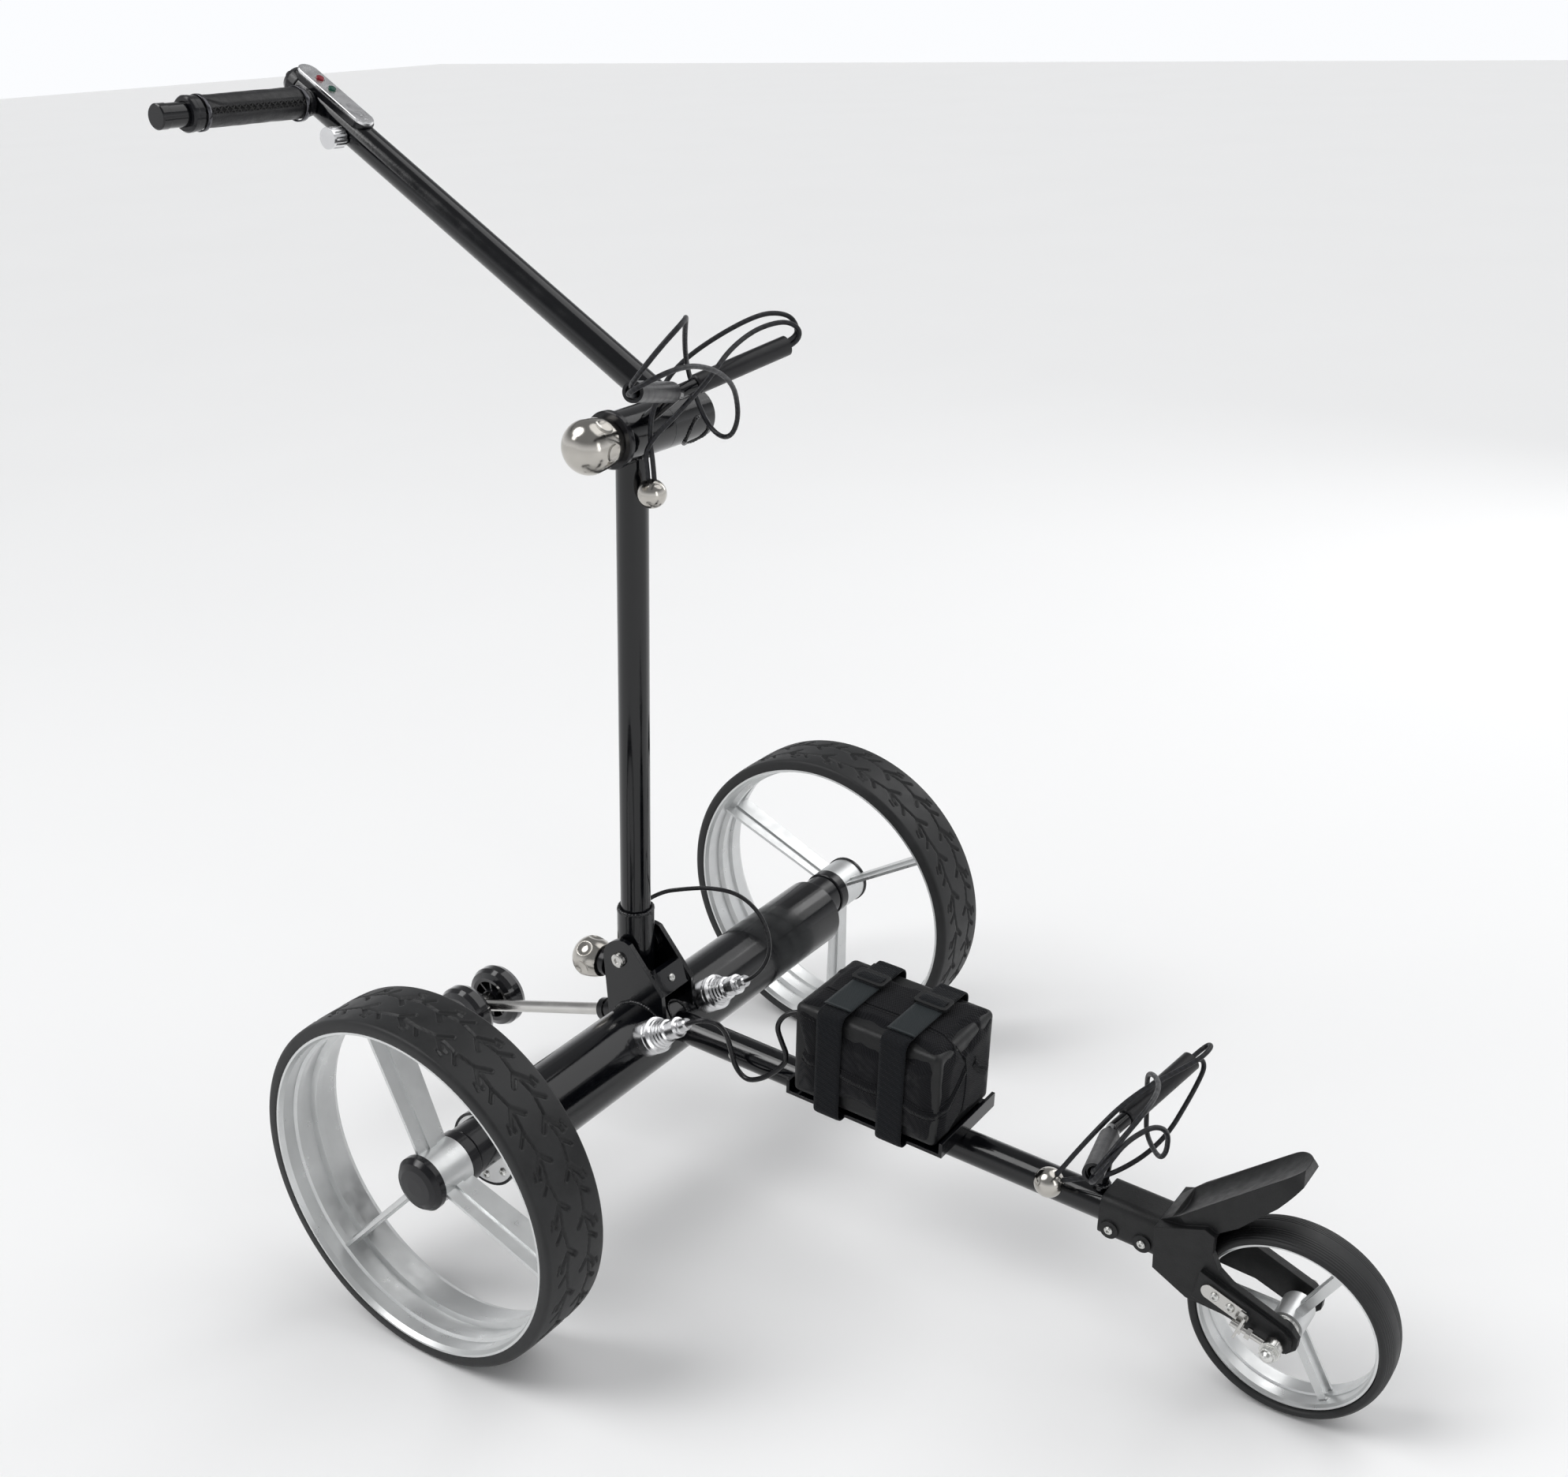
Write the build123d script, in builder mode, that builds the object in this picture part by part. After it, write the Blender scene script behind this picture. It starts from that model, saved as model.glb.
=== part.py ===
from build123d import *
import os
from math import cos, radians, sin, tan

# Three-wheeled electric golf trolley, standing open and ready for a bag.
# Millimetres, +X forward, +Y left, +Z up, ground at Z 0, origin under the middle of its outline.

# Places are measured forward from the rear axle; REAR_X moves them to the trolley's own origin.
REAR_X = -143.13

# Rear wheels
WHEEL_R = 160.0
TYRE_Y = 304.3
TYRE_HALF = 33.5
RIM_R = 148.6
HUB_R = 23.5
SHAFT_R = 6.0
RUNNING = 0.05
RIGHT_STACK = (240.0, 266.2, 266.8, 278.0, 311.0, 323.0)
LEFT_STACK = (266.0, 287.4, 288.0, 300.0, 331.0, 337.6)

# Main tube, which houses both motors; the wheels turn above its middle
TUBE_R = 35.0
TUBE_BORE = 32.5
TUBE_X = -1.6
TUBE_Z = 148.7
MOTOR_R = 31.5

# Frame tube, running forward and slightly down
FRAME_R = 14.1
FRAME_FALL = 3.88
FRAME_START = (33.0, 156.4)

# Folding hinge at the foot of the upright
HINGE_X = -21.3
HINGE_Z = 225.0
HINGE_PIN_R = 4.0
PLATE_INNER = 20.0
PLATE_T = 5.0
UPRIGHT_LEAN = 4.07
UPRIGHT_R = 14.1
FOOT_R = 17.5

# Upper knuckle and handle
KNUCKLE_X = 14.2
KNUCKLE_Z = 723.3
KNUCKLE_R = 22.0
HANDLE_Y = 65.0
HANDLE_ANGLE = 147.7
HANDLE_R = 14.0
GRIP_S = 475.7
GRIP_R = 14.8

# Battery
BAG_X = 183.0
BAG_L = 151.0
BAG_W = 102.0
BAG_H = 97.0

# Front wheel and fork
FRONT_X = 630.0
FRONT_R = 83.5
FRONT_RIM_R = 73.4
ARM_INNER = 24.5
ARM_OUTER = 36.0

# Bag cradles and their elastic cord
CRADLE_SLEEVE_R = 8.5
CRADLE_TUBE_R = 6.0
CRADLE_BORE_R = 4.7
CORD_R = 2.1
BALL_R = 12.5
STRAND_GAP = 2.4

# Cables
CABLE_R = 2.0
LEAD_R = 2.4


def at(x, y, z):
    """Point from its place forward of the rear axle, left of the middle and above the ground."""
    return Vector(REAR_X + x, y, z)


def side(x, y, z, turn=0.0):
    """Plane that faces right, local X forward (raised by turn degrees) and local Y up."""
    a = radians(turn)
    return Plane(origin=at(x, y, z), x_dir=(cos(a), 0, sin(a)), z_dir=(0, -1, 0))


def rod(start, end, radius, mode=Mode.ADD):
    """Round bar from start to end."""
    with BuildSketch(Plane(origin=start, z_dir=end - start)) as section:
        Circle(radius)
    extrude(section.sketch, amount=(end - start).length, mode=mode)


def drum(x, z, y_a, y_b, radius, mode=Mode.ADD):
    """Round bar across the trolley, from y_a to y_b."""
    rod(at(x, y_a, z), at(x, y_b, z), radius, mode)


def turned(start, direction, outline, mode=Mode.ADD):
    """Turn an outline of (distance along, radius) points about an axis."""
    axis_dir = Vector(*direction).normalized()
    normal = Plane(origin=start, z_dir=axis_dir).x_dir
    with BuildSketch(Plane(origin=start, x_dir=axis_dir, z_dir=normal)) as section:
        with BuildLine():
            Polyline(*outline, close=True)
        make_face()
    revolve(section.sketch, axis=Axis(start, axis_dir), mode=mode)


def slab(plane, outline, thickness, mode=Mode.ADD, both=False):
    """Flat piece of a straight-sided outline."""
    with BuildSketch(plane) as section:
        with BuildLine():
            Polyline(*outline, close=True)
        make_face()
    extrude(section.sketch, amount=thickness, both=both, mode=mode)


def polar(x, z, radius, angle):
    """Place in the side view at a radius and angle from (x, z)."""
    return x + radius * cos(radians(angle)), z + radius * sin(radians(angle))


# ---------------------------------------------------------------- main tube and drive
with BuildPart() as main_tube:
    drum(TUBE_X, TUBE_Z, -RIGHT_STACK[0], LEFT_STACK[0], TUBE_R)
    drum(TUBE_X, TUBE_Z, -RIGHT_STACK[0], LEFT_STACK[0], TUBE_BORE, Mode.SUBTRACT)

SCREW_RING = 25.5
SCREW_ANGLES = (-38.0, -90.0, -142.0)

with BuildPart() as end_plates:
    for sign, stack in ((-1, RIGHT_STACK), (1, LEFT_STACK)):
        drum(TUBE_X, TUBE_Z, sign * (stack[0] - 6), sign * stack[0], TUBE_BORE - 0.1)
        drum(0, WHEEL_R, sign * (stack[0] - 7), sign * (stack[0] + 1), SHAFT_R + 1, Mode.SUBTRACT)
        for angle in SCREW_ANGLES:
            x, z = polar(TUBE_X, TUBE_Z, SCREW_RING, angle)
            drum(x, z, sign * (stack[0] - 5), sign * (stack[0] + 1), 2.1, Mode.SUBTRACT)

with BuildPart() as axle_bosses:
    for sign, stack in ((-1, RIGHT_STACK), (1, LEFT_STACK)):
        across = (0, sign, 0)
        length = stack[1] - stack[0]
        turned(at(0, sign * stack[0], WHEEL_R), across,
               [(0.02, SHAFT_R + RUNNING), (0.02, 22), (length - 1, 22), (length, 21),
                (length, SHAFT_R + RUNNING)])

with BuildPart() as drive_motors:
    for sign, stack in ((-1, RIGHT_STACK), (1, LEFT_STACK)):
        inner_face = stack[0] - 6.2
        turned(at(TUBE_X, sign * inner_face, TUBE_Z), (0, -sign, 0),
               [(0, 0), (0, 32.2), (52, 32.2), (52, MOTOR_R), (132, MOTOR_R), (134, 29), (134, 0)])
        drum(0, WHEEL_R, sign * (inner_face - 24), sign * (inner_face + 1), SHAFT_R + 1, Mode.SUBTRACT)

# ---------------------------------------------------------------- rear wheels


def drive_shaft(sign, stack):
    with BuildPart() as shaft:
        drum(0, WHEEL_R, sign * (stack[0] - 28), sign * (stack[4] - 0.5), SHAFT_R)
    return shaft


def rear_rim(sign, stack, first_spoke):
    """Cast rim: a barrel with two raised bands, three ribbed blades and a hub."""
    outward = (0, sign, 0)
    with BuildPart() as rim:
        turned(at(0, sign * TYRE_Y, WHEEL_R), outward,
               [(-33, RIM_R), (33, RIM_R), (33, 146.6), (29, 144.6), (18, 144.3), (16.5, 141.6), (11, 141.6),
                (9.5, 144.3), (-1.5, 144.3), (-3.5, 139.6), (-9.5, 139.6), (-11.5, 144.3), (-29, 144.6),
                (-33, 146.6)])
        turned(at(0, 0, WHEEL_R), outward,
               [(stack[3], SHAFT_R + RUNNING), (stack[3], HUB_R), (stack[4], HUB_R), (stack[4], SHAFT_R + RUNNING)])
        for k in range(3):
            a = radians(first_spoke + 120 * k)
            blade = Plane(origin=at(0, 0, WHEEL_R), x_dir=(cos(a), 0, sin(a)), z_dir=(-sin(a), 0, cos(a)))
            hub_in = sign * (stack[3] + 1)
            hub_out = sign * (stack[4] - 1)
            rim_in = sign * (TYRE_Y - 19)
            rim_out = sign * (TYRE_Y + 17)
            slab(blade, [(22, hub_in), (22, hub_out), (144.5, rim_out), (144.5, rim_in)], 1.5, both=True)
            middle = (hub_in + hub_out) / 2
            rib = [(22, middle - 4), (22, middle + 4), (144.5, sign * TYRE_Y + 3), (144.5, sign * TYRE_Y - 5)]
            slab(blade, rib, 3.4, both=True)
    return rim


def rear_tyre(sign):
    """Wide solid-look tyre with a nearly flat crown."""
    w = TYRE_HALF
    with BuildPart() as tyre:
        turned(at(0, sign * TYRE_Y, WHEEL_R), (0, 1, 0),
               [(-w + 0.4, RIM_R + 0.05), (w - 0.4, RIM_R + 0.05), (w, 149.4), (w, 156.6), (w - 1.4, 158.4),
                (w - 5, 159.5), (w - 12, WHEEL_R), (12 - w, WHEEL_R), (5 - w, 159.5), (1.4 - w, 158.4),
                (-w, 156.6), (-w, 149.4)])
    return tyre


def hub_trim(sign, stack):
    """Clutch ring inboard of the hub and a domed cap outboard of it."""
    outward = (0, sign, 0)
    with BuildPart() as trim:
        turned(at(0, 0, WHEEL_R), outward,
               [(stack[2], SHAFT_R + RUNNING), (stack[2], 22.6), (stack[2] + 1, HUB_R), (stack[3] - 0.05, HUB_R),
                (stack[3] - 0.05, SHAFT_R + RUNNING)])
        depth = stack[5] - stack[4]
        turned(at(0, 0, WHEEL_R), outward,
               [(stack[4] + 0.05, 0), (stack[4] + 0.05, 24.6), (stack[4] + 0.45 * depth, 24.6),
                (stack[4] + 0.8 * depth, 21), (stack[5] - 0.4, 16), (stack[5], 8), (stack[5], 0)])
    return trim


right_drive_shaft = drive_shaft(-1, RIGHT_STACK)
left_drive_shaft = drive_shaft(1, LEFT_STACK)
right_rear_rim = rear_rim(-1, RIGHT_STACK, 105.0)
left_rear_rim = rear_rim(1, LEFT_STACK, 30.0)
right_rear_tyre = rear_tyre(-1)
left_rear_tyre = rear_tyre(1)
right_hub_trim = hub_trim(-1, RIGHT_STACK)
left_hub_trim = hub_trim(1, LEFT_STACK)

# ---------------------------------------------------------------- frame tube
FALL = tan(radians(FRAME_FALL))
FRAME_DIR = Vector(cos(radians(FRAME_FALL)), 0, -sin(radians(FRAME_FALL)))


def frame_z(x):
    """Height of the frame tube's axis at a place along it."""
    return FRAME_START[1] - FALL * (x - FRAME_START[0])


with BuildPart() as frame_tube:
    rod(at(10, 0, frame_z(10)), at(521, 0, frame_z(521)), FRAME_R)
    drum(TUBE_X, TUBE_Z, -40, 40, TUBE_R + 0.05, Mode.SUBTRACT)
    rod(at(5, 0, frame_z(5)), at(525, 0, frame_z(525)), FRAME_R - 2, Mode.SUBTRACT)
    rod(at(98, -30, frame_z(98) + 2), at(98, -8, frame_z(98) + 2), 2.1, Mode.SUBTRACT)

# ---------------------------------------------------------------- folding hinge
BLOCK = (8.0, 26.0, 195.0, 216.0)
BLOCK_FACE = (21.0, 0.0, 10.0)
BLOCK_SCREW = at(19.85, 0, 206)
with BuildPart() as hinge_bracket:
    for y in (-PLATE_INNER, PLATE_INNER + PLATE_T):
        with BuildSketch(side(0, y, 0)) as cheek:
            with BuildLine():
                l1 = Line((-39, 160), (-40.5, 219))
                l2 = ThreePointArc((-40.5, 219), (-27, 243.2), (-8, 243.5))
                l3 = Line((-8, 243.5), (27, 198))
                l4 = Line((27, 198), (28, 160))
                l5 = Line((28, 160), (-39, 160))
            make_face()
        extrude(cheek.sketch, amount=PLATE_T)
    slab(side(0, PLATE_INNER, 0), [(BLOCK[0], BLOCK[2]), (BLOCK[1] - 1, BLOCK[2]), (BLOCK[1] - 11, BLOCK[3]),
                                   (BLOCK[0], BLOCK[3])], 2 * PLATE_INNER)
    drum(TUBE_X, TUBE_Z, -30, 30, TUBE_R + 0.05, Mode.SUBTRACT)
    drum(HINGE_X, HINGE_Z, -30, 30, HINGE_PIN_R + RUNNING, Mode.SUBTRACT)
    rod(BLOCK_SCREW + Vector(*BLOCK_FACE) * 0.1, BLOCK_SCREW - Vector(*BLOCK_FACE) * 0.2, 2.1, Mode.SUBTRACT)

with BuildPart() as hinge_pin:
    drum(HINGE_X, HINGE_Z, -25.1, 31, HINGE_PIN_R)
    turned(at(HINGE_X, -25.05, HINGE_Z), (0, -1, 0), [(0, 0), (0, 7.5), (3.4, 6.8), (4.2, 5.5), (4.2, 0)])
    with BuildSketch(side(HINGE_X, -28, HINGE_Z)) as socket:
        RegularPolygon(3, 6)
    extrude(socket.sketch, amount=4, mode=Mode.SUBTRACT)
    with BuildSketch(side(HINGE_X, 31.2, HINGE_Z)) as nut:
        RegularPolygon(7.5, 6)
    extrude(nut.sketch, amount=6.1)

# ---------------------------------------------------------------- upright, turning about the hinge
LEAN = radians(UPRIGHT_LEAN)
UP = Vector(sin(LEAN), 0, cos(LEAN))


def on_upright(height, y=0.0):
    """Point on the upright's axis, a height along it above the hinge pin."""
    return at(HINGE_X, y, HINGE_Z) + UP * height


LOWER_KNOB_Z = 200.5
with BuildPart() as foot_sleeve:
    rod(on_upright(-36), on_upright(44), FOOT_R)
    for end in (1, -1):
        drum(HINGE_X, HINGE_Z, end * 16.5, end * (PLATE_INNER - 0.3), 14)
    rod(on_upright(18), on_upright(45), UPRIGHT_R + 0.05, Mode.SUBTRACT)
    drum(HINGE_X, HINGE_Z, -25, 25, HINGE_PIN_R + RUNNING, Mode.SUBTRACT)
    rod(at(-45, 0, LOWER_KNOB_Z), at(0, 0, LOWER_KNOB_Z), 5.05, Mode.SUBTRACT)

with BuildPart() as upright_tube:
    rod(on_upright(18.1), on_upright(500), UPRIGHT_R)
    drum(KNUCKLE_X, KNUCKLE_Z, -25, 32, KNUCKLE_R - 0.01)
    rod(on_upright(18), on_upright(470), UPRIGHT_R - 2, Mode.SUBTRACT)
    drum(KNUCKLE_X, KNUCKLE_Z, -26, 33, 5.55, Mode.SUBTRACT)

# ---------------------------------------------------------------- scalloped clamp knobs


def knob(centre, outward, length, radius, bore, stud):
    """Domed hand knob with six thumb scallops; centre is its inner face."""
    axis_dir = Vector(*outward).normalized()
    frame = Plane(origin=centre, z_dir=axis_dir)
    with BuildPart() as body:
        with BuildSketch(Plane(origin=centre, x_dir=axis_dir, z_dir=frame.x_dir)) as section:
            with BuildLine():
                l1 = Line((0, 0), (0, 0.8 * radius))
                l2 = ThreePointArc((0, 0.8 * radius), (0.3 * length, 0.96 * radius), (0.58 * length, radius))
                l3 = ThreePointArc((0.58 * length, radius), (0.9 * length, 0.66 * radius),
                                   (length, 0.12 * radius))
                l4 = Line((length, 0.12 * radius), (length, 0))
                l5 = Line((length, 0), (0, 0))
            make_face()
        revolve(section.sketch, axis=Axis(centre, axis_dir))
        for k in range(6):
            a = radians(60 * k + 21)
            reach = radius + 12.0
            offset = frame.x_dir * (reach * cos(a)) + frame.y_dir * (reach * sin(a))
            with Locations(centre + axis_dir * (0.4 * length) + offset):
                Sphere(15.5, mode=Mode.SUBTRACT)
        if bore > 0:
            rod(centre - axis_dir, centre + axis_dir * 0.6 * length, bore, Mode.SUBTRACT)
        if stud > 0:
            rod(centre - axis_dir * stud, centre + axis_dir * 2, 5.0)
    return body


lower_knob = knob(at(-62, 0, LOWER_KNOB_Z), (-1, 0, 0), 33, 20, 0, 69.4)
upper_knob = knob(at(KNUCKLE_X, -31.4, KNUCKLE_Z), (0, -1, 0), 45, 23, 5.06, 0)

with BuildPart() as knob_collars:
    turned(at(KNUCKLE_X, -25.05, KNUCKLE_Z), (0, -1, 0),
           [(0, 5.6), (0, 24), (1, 24.6), (5, 24.6), (6, 23.6), (6, 5.6)])
    turned(at(-40.4, 0, LOWER_KNOB_Z), (-1, 0, 0),
           [(1.2, 5.1), (1.2, 9), (12, 9), (14, 13.5), (21.2, 13.5), (21.2, 5.1)])

# ---------------------------------------------------------------- handle
A = radians(HANDLE_ANGLE)
ALONG = Vector(cos(A), 0, sin(A))
RISE = Vector(sin(A), 0, -cos(A))


def on_handle(s, rise=0.0, y=HANDLE_Y):
    """Point a distance s up the handle tube from the knuckle, raised square to it."""
    return at(KNUCKLE_X, y, KNUCKLE_Z) + ALONG * s + RISE * rise


with BuildPart() as handle_tube:
    rod(on_handle(10), on_handle(498), HANDLE_R)
    drum(KNUCKLE_X, KNUCKLE_Z, 32.3, 87, KNUCKLE_R)
    rod(on_handle(60), on_handle(499), HANDLE_R - 2, Mode.SUBTRACT)
    drum(KNUCKLE_X, KNUCKLE_Z, -55, 40, 5.0)
    rod(on_handle(GRIP_S, 0, 88), on_handle(GRIP_S, 0, 40), 10.55, Mode.SUBTRACT)
    rod(on_handle(427, -4, 56), on_handle(427, -4, 44), 5.05, Mode.SUBTRACT)

with BuildPart() as tube_cap:
    turned(on_handle(498.1), tuple(ALONG),
           [(0, 0), (0, 15), (9, 15), (14, 12.5), (17, 8), (18, 4), (22, 3.5), (22.6, 2), (22.6, 0)])
    rod(on_handle(480), on_handle(498.2), HANDLE_R - 2.2)
    rod(on_handle(GRIP_S, 0, 90), on_handle(GRIP_S, 0, 40), 10.8, Mode.SUBTRACT)

GX, GZ = KNUCKLE_X + GRIP_S * cos(A), KNUCKLE_Z + GRIP_S * sin(A)
with BuildPart() as grip_bar:
    turned(at(GX, 76, GZ), (0, -1, 0),
           [(0, 0), (0, 10.5), (186, 10.5), (186, 11), (194, 11), (195, 10), (195, 0)])

with BuildPart() as leather_grip:
    turned(at(GX, 41.9, GZ), (0, -1, 0), [(0, 10.6), (0, GRIP_R), (119.8, GRIP_R), (119.8, 10.6)])

with BuildPart() as grip_collars:
    turned(at(GX, 0, GZ), (0, 1, 0), [(42, 10.6), (42, 13.2), (46, 13.2), (48, 12.4), (49.8, 12.4), (49.8, 10.6)])
    turned(at(GX, 0, GZ), (0, -1, 0), [(78, 10.6), (78, 15.2), (83.8, 15.2), (83.8, 10.6)])
    turned(at(GX, 0, GZ), (0, -1, 0), [(84, 10.6), (84, 15.6), (88, 15.6), (90, 14.2), (90, 10.6)])

# Control panel on top of the handle tube
PANEL_S = (412.0, 508.0)
PANEL_HALF = 10.0
HOUSING_TOP = 15.2
PLATE_TOP = 18.4
BUTTON_R = 3.6
BUTTON_STROKE = 1.2
RED_S = 483.0
GREEN_S = 466.0
TOP_FACE = Plane(origin=on_handle(0, HOUSING_TOP), x_dir=tuple(ALONG), z_dir=tuple(RISE))


def panel_outline(plane, grow):
    """Long plate with round ends, centred on the handle tube."""
    length = PANEL_S[1] - PANEL_S[0] + 2 * grow
    with BuildSketch(plane) as outline:
        with Locations(((PANEL_S[0] + PANEL_S[1]) / 2, 0)):
            SlotOverall(length, 2 * (PANEL_HALF + grow))
    return outline.sketch


with BuildPart() as panel_housing:
    extrude(panel_outline(TOP_FACE.offset(-6), 0.8), amount=6)
    rod(on_handle(400), on_handle(498), HANDLE_R + 0.05, Mode.SUBTRACT)
    rod(on_handle(498), on_handle(520), 15.05, Mode.SUBTRACT)
    rod(on_handle(GRIP_S, 0, 88), on_handle(GRIP_S, 0, 40), 10.65, Mode.SUBTRACT)
    for s in (RED_S, GREEN_S):
        rod(on_handle(s, HOUSING_TOP - 1.0), on_handle(s, 20), BUTTON_R + 0.08, Mode.SUBTRACT)
    rod(on_handle(427, -4, 52.4), on_handle(427, -4, 49.9), 7.5)
    rod(on_handle(427, -4, 53), on_handle(427, -4, 49), 3.05, Mode.SUBTRACT)
    rod(on_handle(440), on_handle(410), HANDLE_R + 0.02, Mode.SUBTRACT)

with BuildPart() as control_panel:
    extrude(panel_outline(TOP_FACE.offset(0.02), 0), amount=PLATE_TOP - HOUSING_TOP)
    chamfer(control_panel.faces().sort_by(Axis(on_handle(0), RISE))[-1].edges(), 0.5)
    for s in (RED_S, GREEN_S):
        rod(on_handle(s, 10), on_handle(s, 20), BUTTON_R + 0.08, Mode.SUBTRACT)
    for s in (PANEL_S[0] + 6, PANEL_S[0] + 12):
        rod(on_handle(s, PLATE_TOP - 0.4), on_handle(s, PLATE_TOP + 1), 1.4, Mode.SUBTRACT)


def push_button(s):
    """Round button standing a little proud of the panel."""
    foot = HOUSING_TOP - 1.0 + BUTTON_STROKE + 0.3
    with BuildPart() as button:
        turned(on_handle(s, foot), tuple(RISE),
               [(0, 0), (0, BUTTON_R), (4.6, BUTTON_R), (5.2, 2.6), (5.4, 0)])
    return button


red_button = push_button(RED_S)
green_button = push_button(GREEN_S)

with BuildPart() as speed_dial:
    rod(on_handle(427, -4, 49.6), on_handle(427, -4, 33.4), 9.6)
    for k in range(12):
        a = radians(30 * k)
        rod(on_handle(427 + 10.2 * cos(a), -4 + 10.2 * sin(a), 49.7),
            on_handle(427 + 10.2 * cos(a), -4 + 10.2 * sin(a), 36.5), 1.6, Mode.SUBTRACT)
    rod(on_handle(427, -4, 49.5), on_handle(427, -4, 55), 3.0)

# ---------------------------------------------------------------- bag cradles


def cradle(vertex, reach, foot, cope):
    """Bent steel tube on a short stem, its bore open at both ends for the cord."""
    tips = [at(vertex[0] + reach[0], sign * reach[1], vertex[1] + reach[2]) for sign in (-1, 1)]
    middle = at(vertex[0], 0, vertex[1])
    with BuildPart() as tube:
        for tip in tips:
            rod(middle, tip - (tip - middle).normalized() * 3, CRADLE_TUBE_R)
        with Locations(middle):
            Sphere(CRADLE_TUBE_R)
        rod(foot, middle, 5.5)
        for tip in tips:
            rod(middle, tip, CRADLE_BORE_R, Mode.SUBTRACT)
        with Locations(middle):
            Sphere(CRADLE_BORE_R, mode=Mode.SUBTRACT)
        cope()
    return tube, tips, middle


def cradle_sleeves(tips, middle):
    """Two rubber sleeves over the arms of a cradle, open at the tips."""
    with BuildPart() as sleeves:
        for tip in tips:
            arm = (tip - middle).normalized()
            start = middle + arm * 17
            outline = [(0, CRADLE_TUBE_R + 0.05), (0, 7.6), (1.5, CRADLE_SLEEVE_R),
                       ((tip - start).length, CRADLE_SLEEVE_R), ((tip - start).length, CRADLE_TUBE_R + 0.05)]
            turned(start, tuple(arm), outline)
    return sleeves


UPPER_VERTEX = (65.5, 762.1)
UPPER_REACH = (36.9, 101.8, 23.2)
LOWER_VERTEX = (471.4, 200.1)
LOWER_REACH = (26.4, 92.7, 24.1)


def cope_upper():
    drum(KNUCKLE_X, KNUCKLE_Z, -24, 24, KNUCKLE_R + 0.05, Mode.SUBTRACT)


def cope_lower():
    rod(at(430, 0, frame_z(430)), at(500, 0, frame_z(500)), FRAME_R + 0.05, Mode.SUBTRACT)


upper_bracket, upper_tips, upper_middle = cradle(UPPER_VERTEX, UPPER_REACH, at(26, 0, 732.5), cope_upper)
upper_bracket_sleeves = cradle_sleeves(upper_tips, upper_middle)
lower_bracket, lower_tips, lower_middle = cradle(LOWER_VERTEX, LOWER_REACH, at(461.2, 0, 130), cope_lower)
lower_bracket_sleeves = cradle_sleeves(lower_tips, lower_middle)

# ---------------------------------------------------------------- elastic cord
UPPER_BALL = (40.0, -10.0, 677.0)
LOWER_BALL = (430.5, -30.0, 152.0)


def cord_tube(points, radius):
    """Round cord along straight runs joined by the largest tangent arcs that they allow."""
    places = [at(*p) for p in points]
    radii = []
    for a, b, c in zip(places, places[1:], places[2:]):
        turn = (b - a).get_angle(c - b)
        radii.append(0.45 * min((b - a).length, (c - b).length) / tan(radians(turn / 2)))
    with BuildPart() as cord:
        with BuildLine() as route:
            FilletPolyline(*places, radius=radii)
        with BuildSketch(Plane(origin=places[0], z_dir=places[1] - places[0])):
            Circle(radius)
        sweep(path=route.line)
    length = sum(edge.length for edge in route.line.edges())
    print(f"cord {length:.0f} mm long, volume error "
          f"{cord.part.volume / (3.14159265 * radius ** 2 * length) - 1:+.4f}, radii",
          " ".join(f"{r:.0f}" for r in radii))
    return cord


# Loop out of the upper cradle's right arm and back into it
upper_cord_loop = cord_tube(
    [(98.9, -92.1, 785.5), (105.5, -110.5, 789.7), (124, -121, 803), (146, -119, 826), (153, -98, 842),
     (129, -66, 838), (97, -28, 814), (64, 14, 788), (49, 38, 764), (48, 48, 743), (56, 50, 724), (72, 46, 716),
     (88, 40, 720), (100, 34, 737), (108, 22, 758), (117, 4, 773), (126, -22, 787), (134, -50, 797),
     (140, -78, 804), (142, -104, 805), (137, -121, 801), (123, -128, 793), (108, -116, 785.5),
     (99.3, -93.1, 780.9)], CORD_R)

# Two strands out of its left arm, over the cradle and down to the ball
upper_cord_rear = cord_tube(
    [(98.9, 92.1, 785.5), (105.5, 110.5, 789.7), (102, 121, 797), (94, 121, 807), (85, 106, 811), (79, 86, 809),
     (68, 60, 800), (54, 38, 787), (48, 20, 776), (48, 4, 766), (52, -11, 757), (47, -14, 743), (43, -12, 721),
     (42.1, -8.5, 701), (42.1, -8.5, 686)], CORD_R)
upper_cord_front = cord_tube(
    [(99.3, 93.1, 780.9), (105.9, 111.5, 785.1), (108, 117, 796), (100, 110, 804), (93, 93, 804), (88, 72, 800),
     (89, 40, 791), (92, 14, 778), (82, 0, 761), (68, -10, 744), (50, -15, 727), (38.5, -14, 712),
     (37.9, -11.5, 699), (37.9, -11.5, 686)], CORD_R)

# Loop out of the lower cradle's right arm and back into it
lower_cord_loop = cord_tube(
    [(495.0, -82.8, 224.1), (500.3, -101.5, 229.0), (509, -104, 243), (518, -86, 260), (524, -60, 271),
     (519, -28, 266), (509, 0, 258), (493, 26, 246), (478, 50, 228), (473, 62, 206), (478, 52, 188),
     (485, 36, 182), (500, 15, 184), (515, -4, 191), (525, -16, 209), (531, -30, 238), (527, -48, 252),
     (520, -68, 252), (518, -87, 253), (517, -103, 250), (512, -112, 241), (506, -111, 231),
     (500.7, -102.6, 224.3), (495.3, -84.0, 219.5)], CORD_R)

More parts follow.
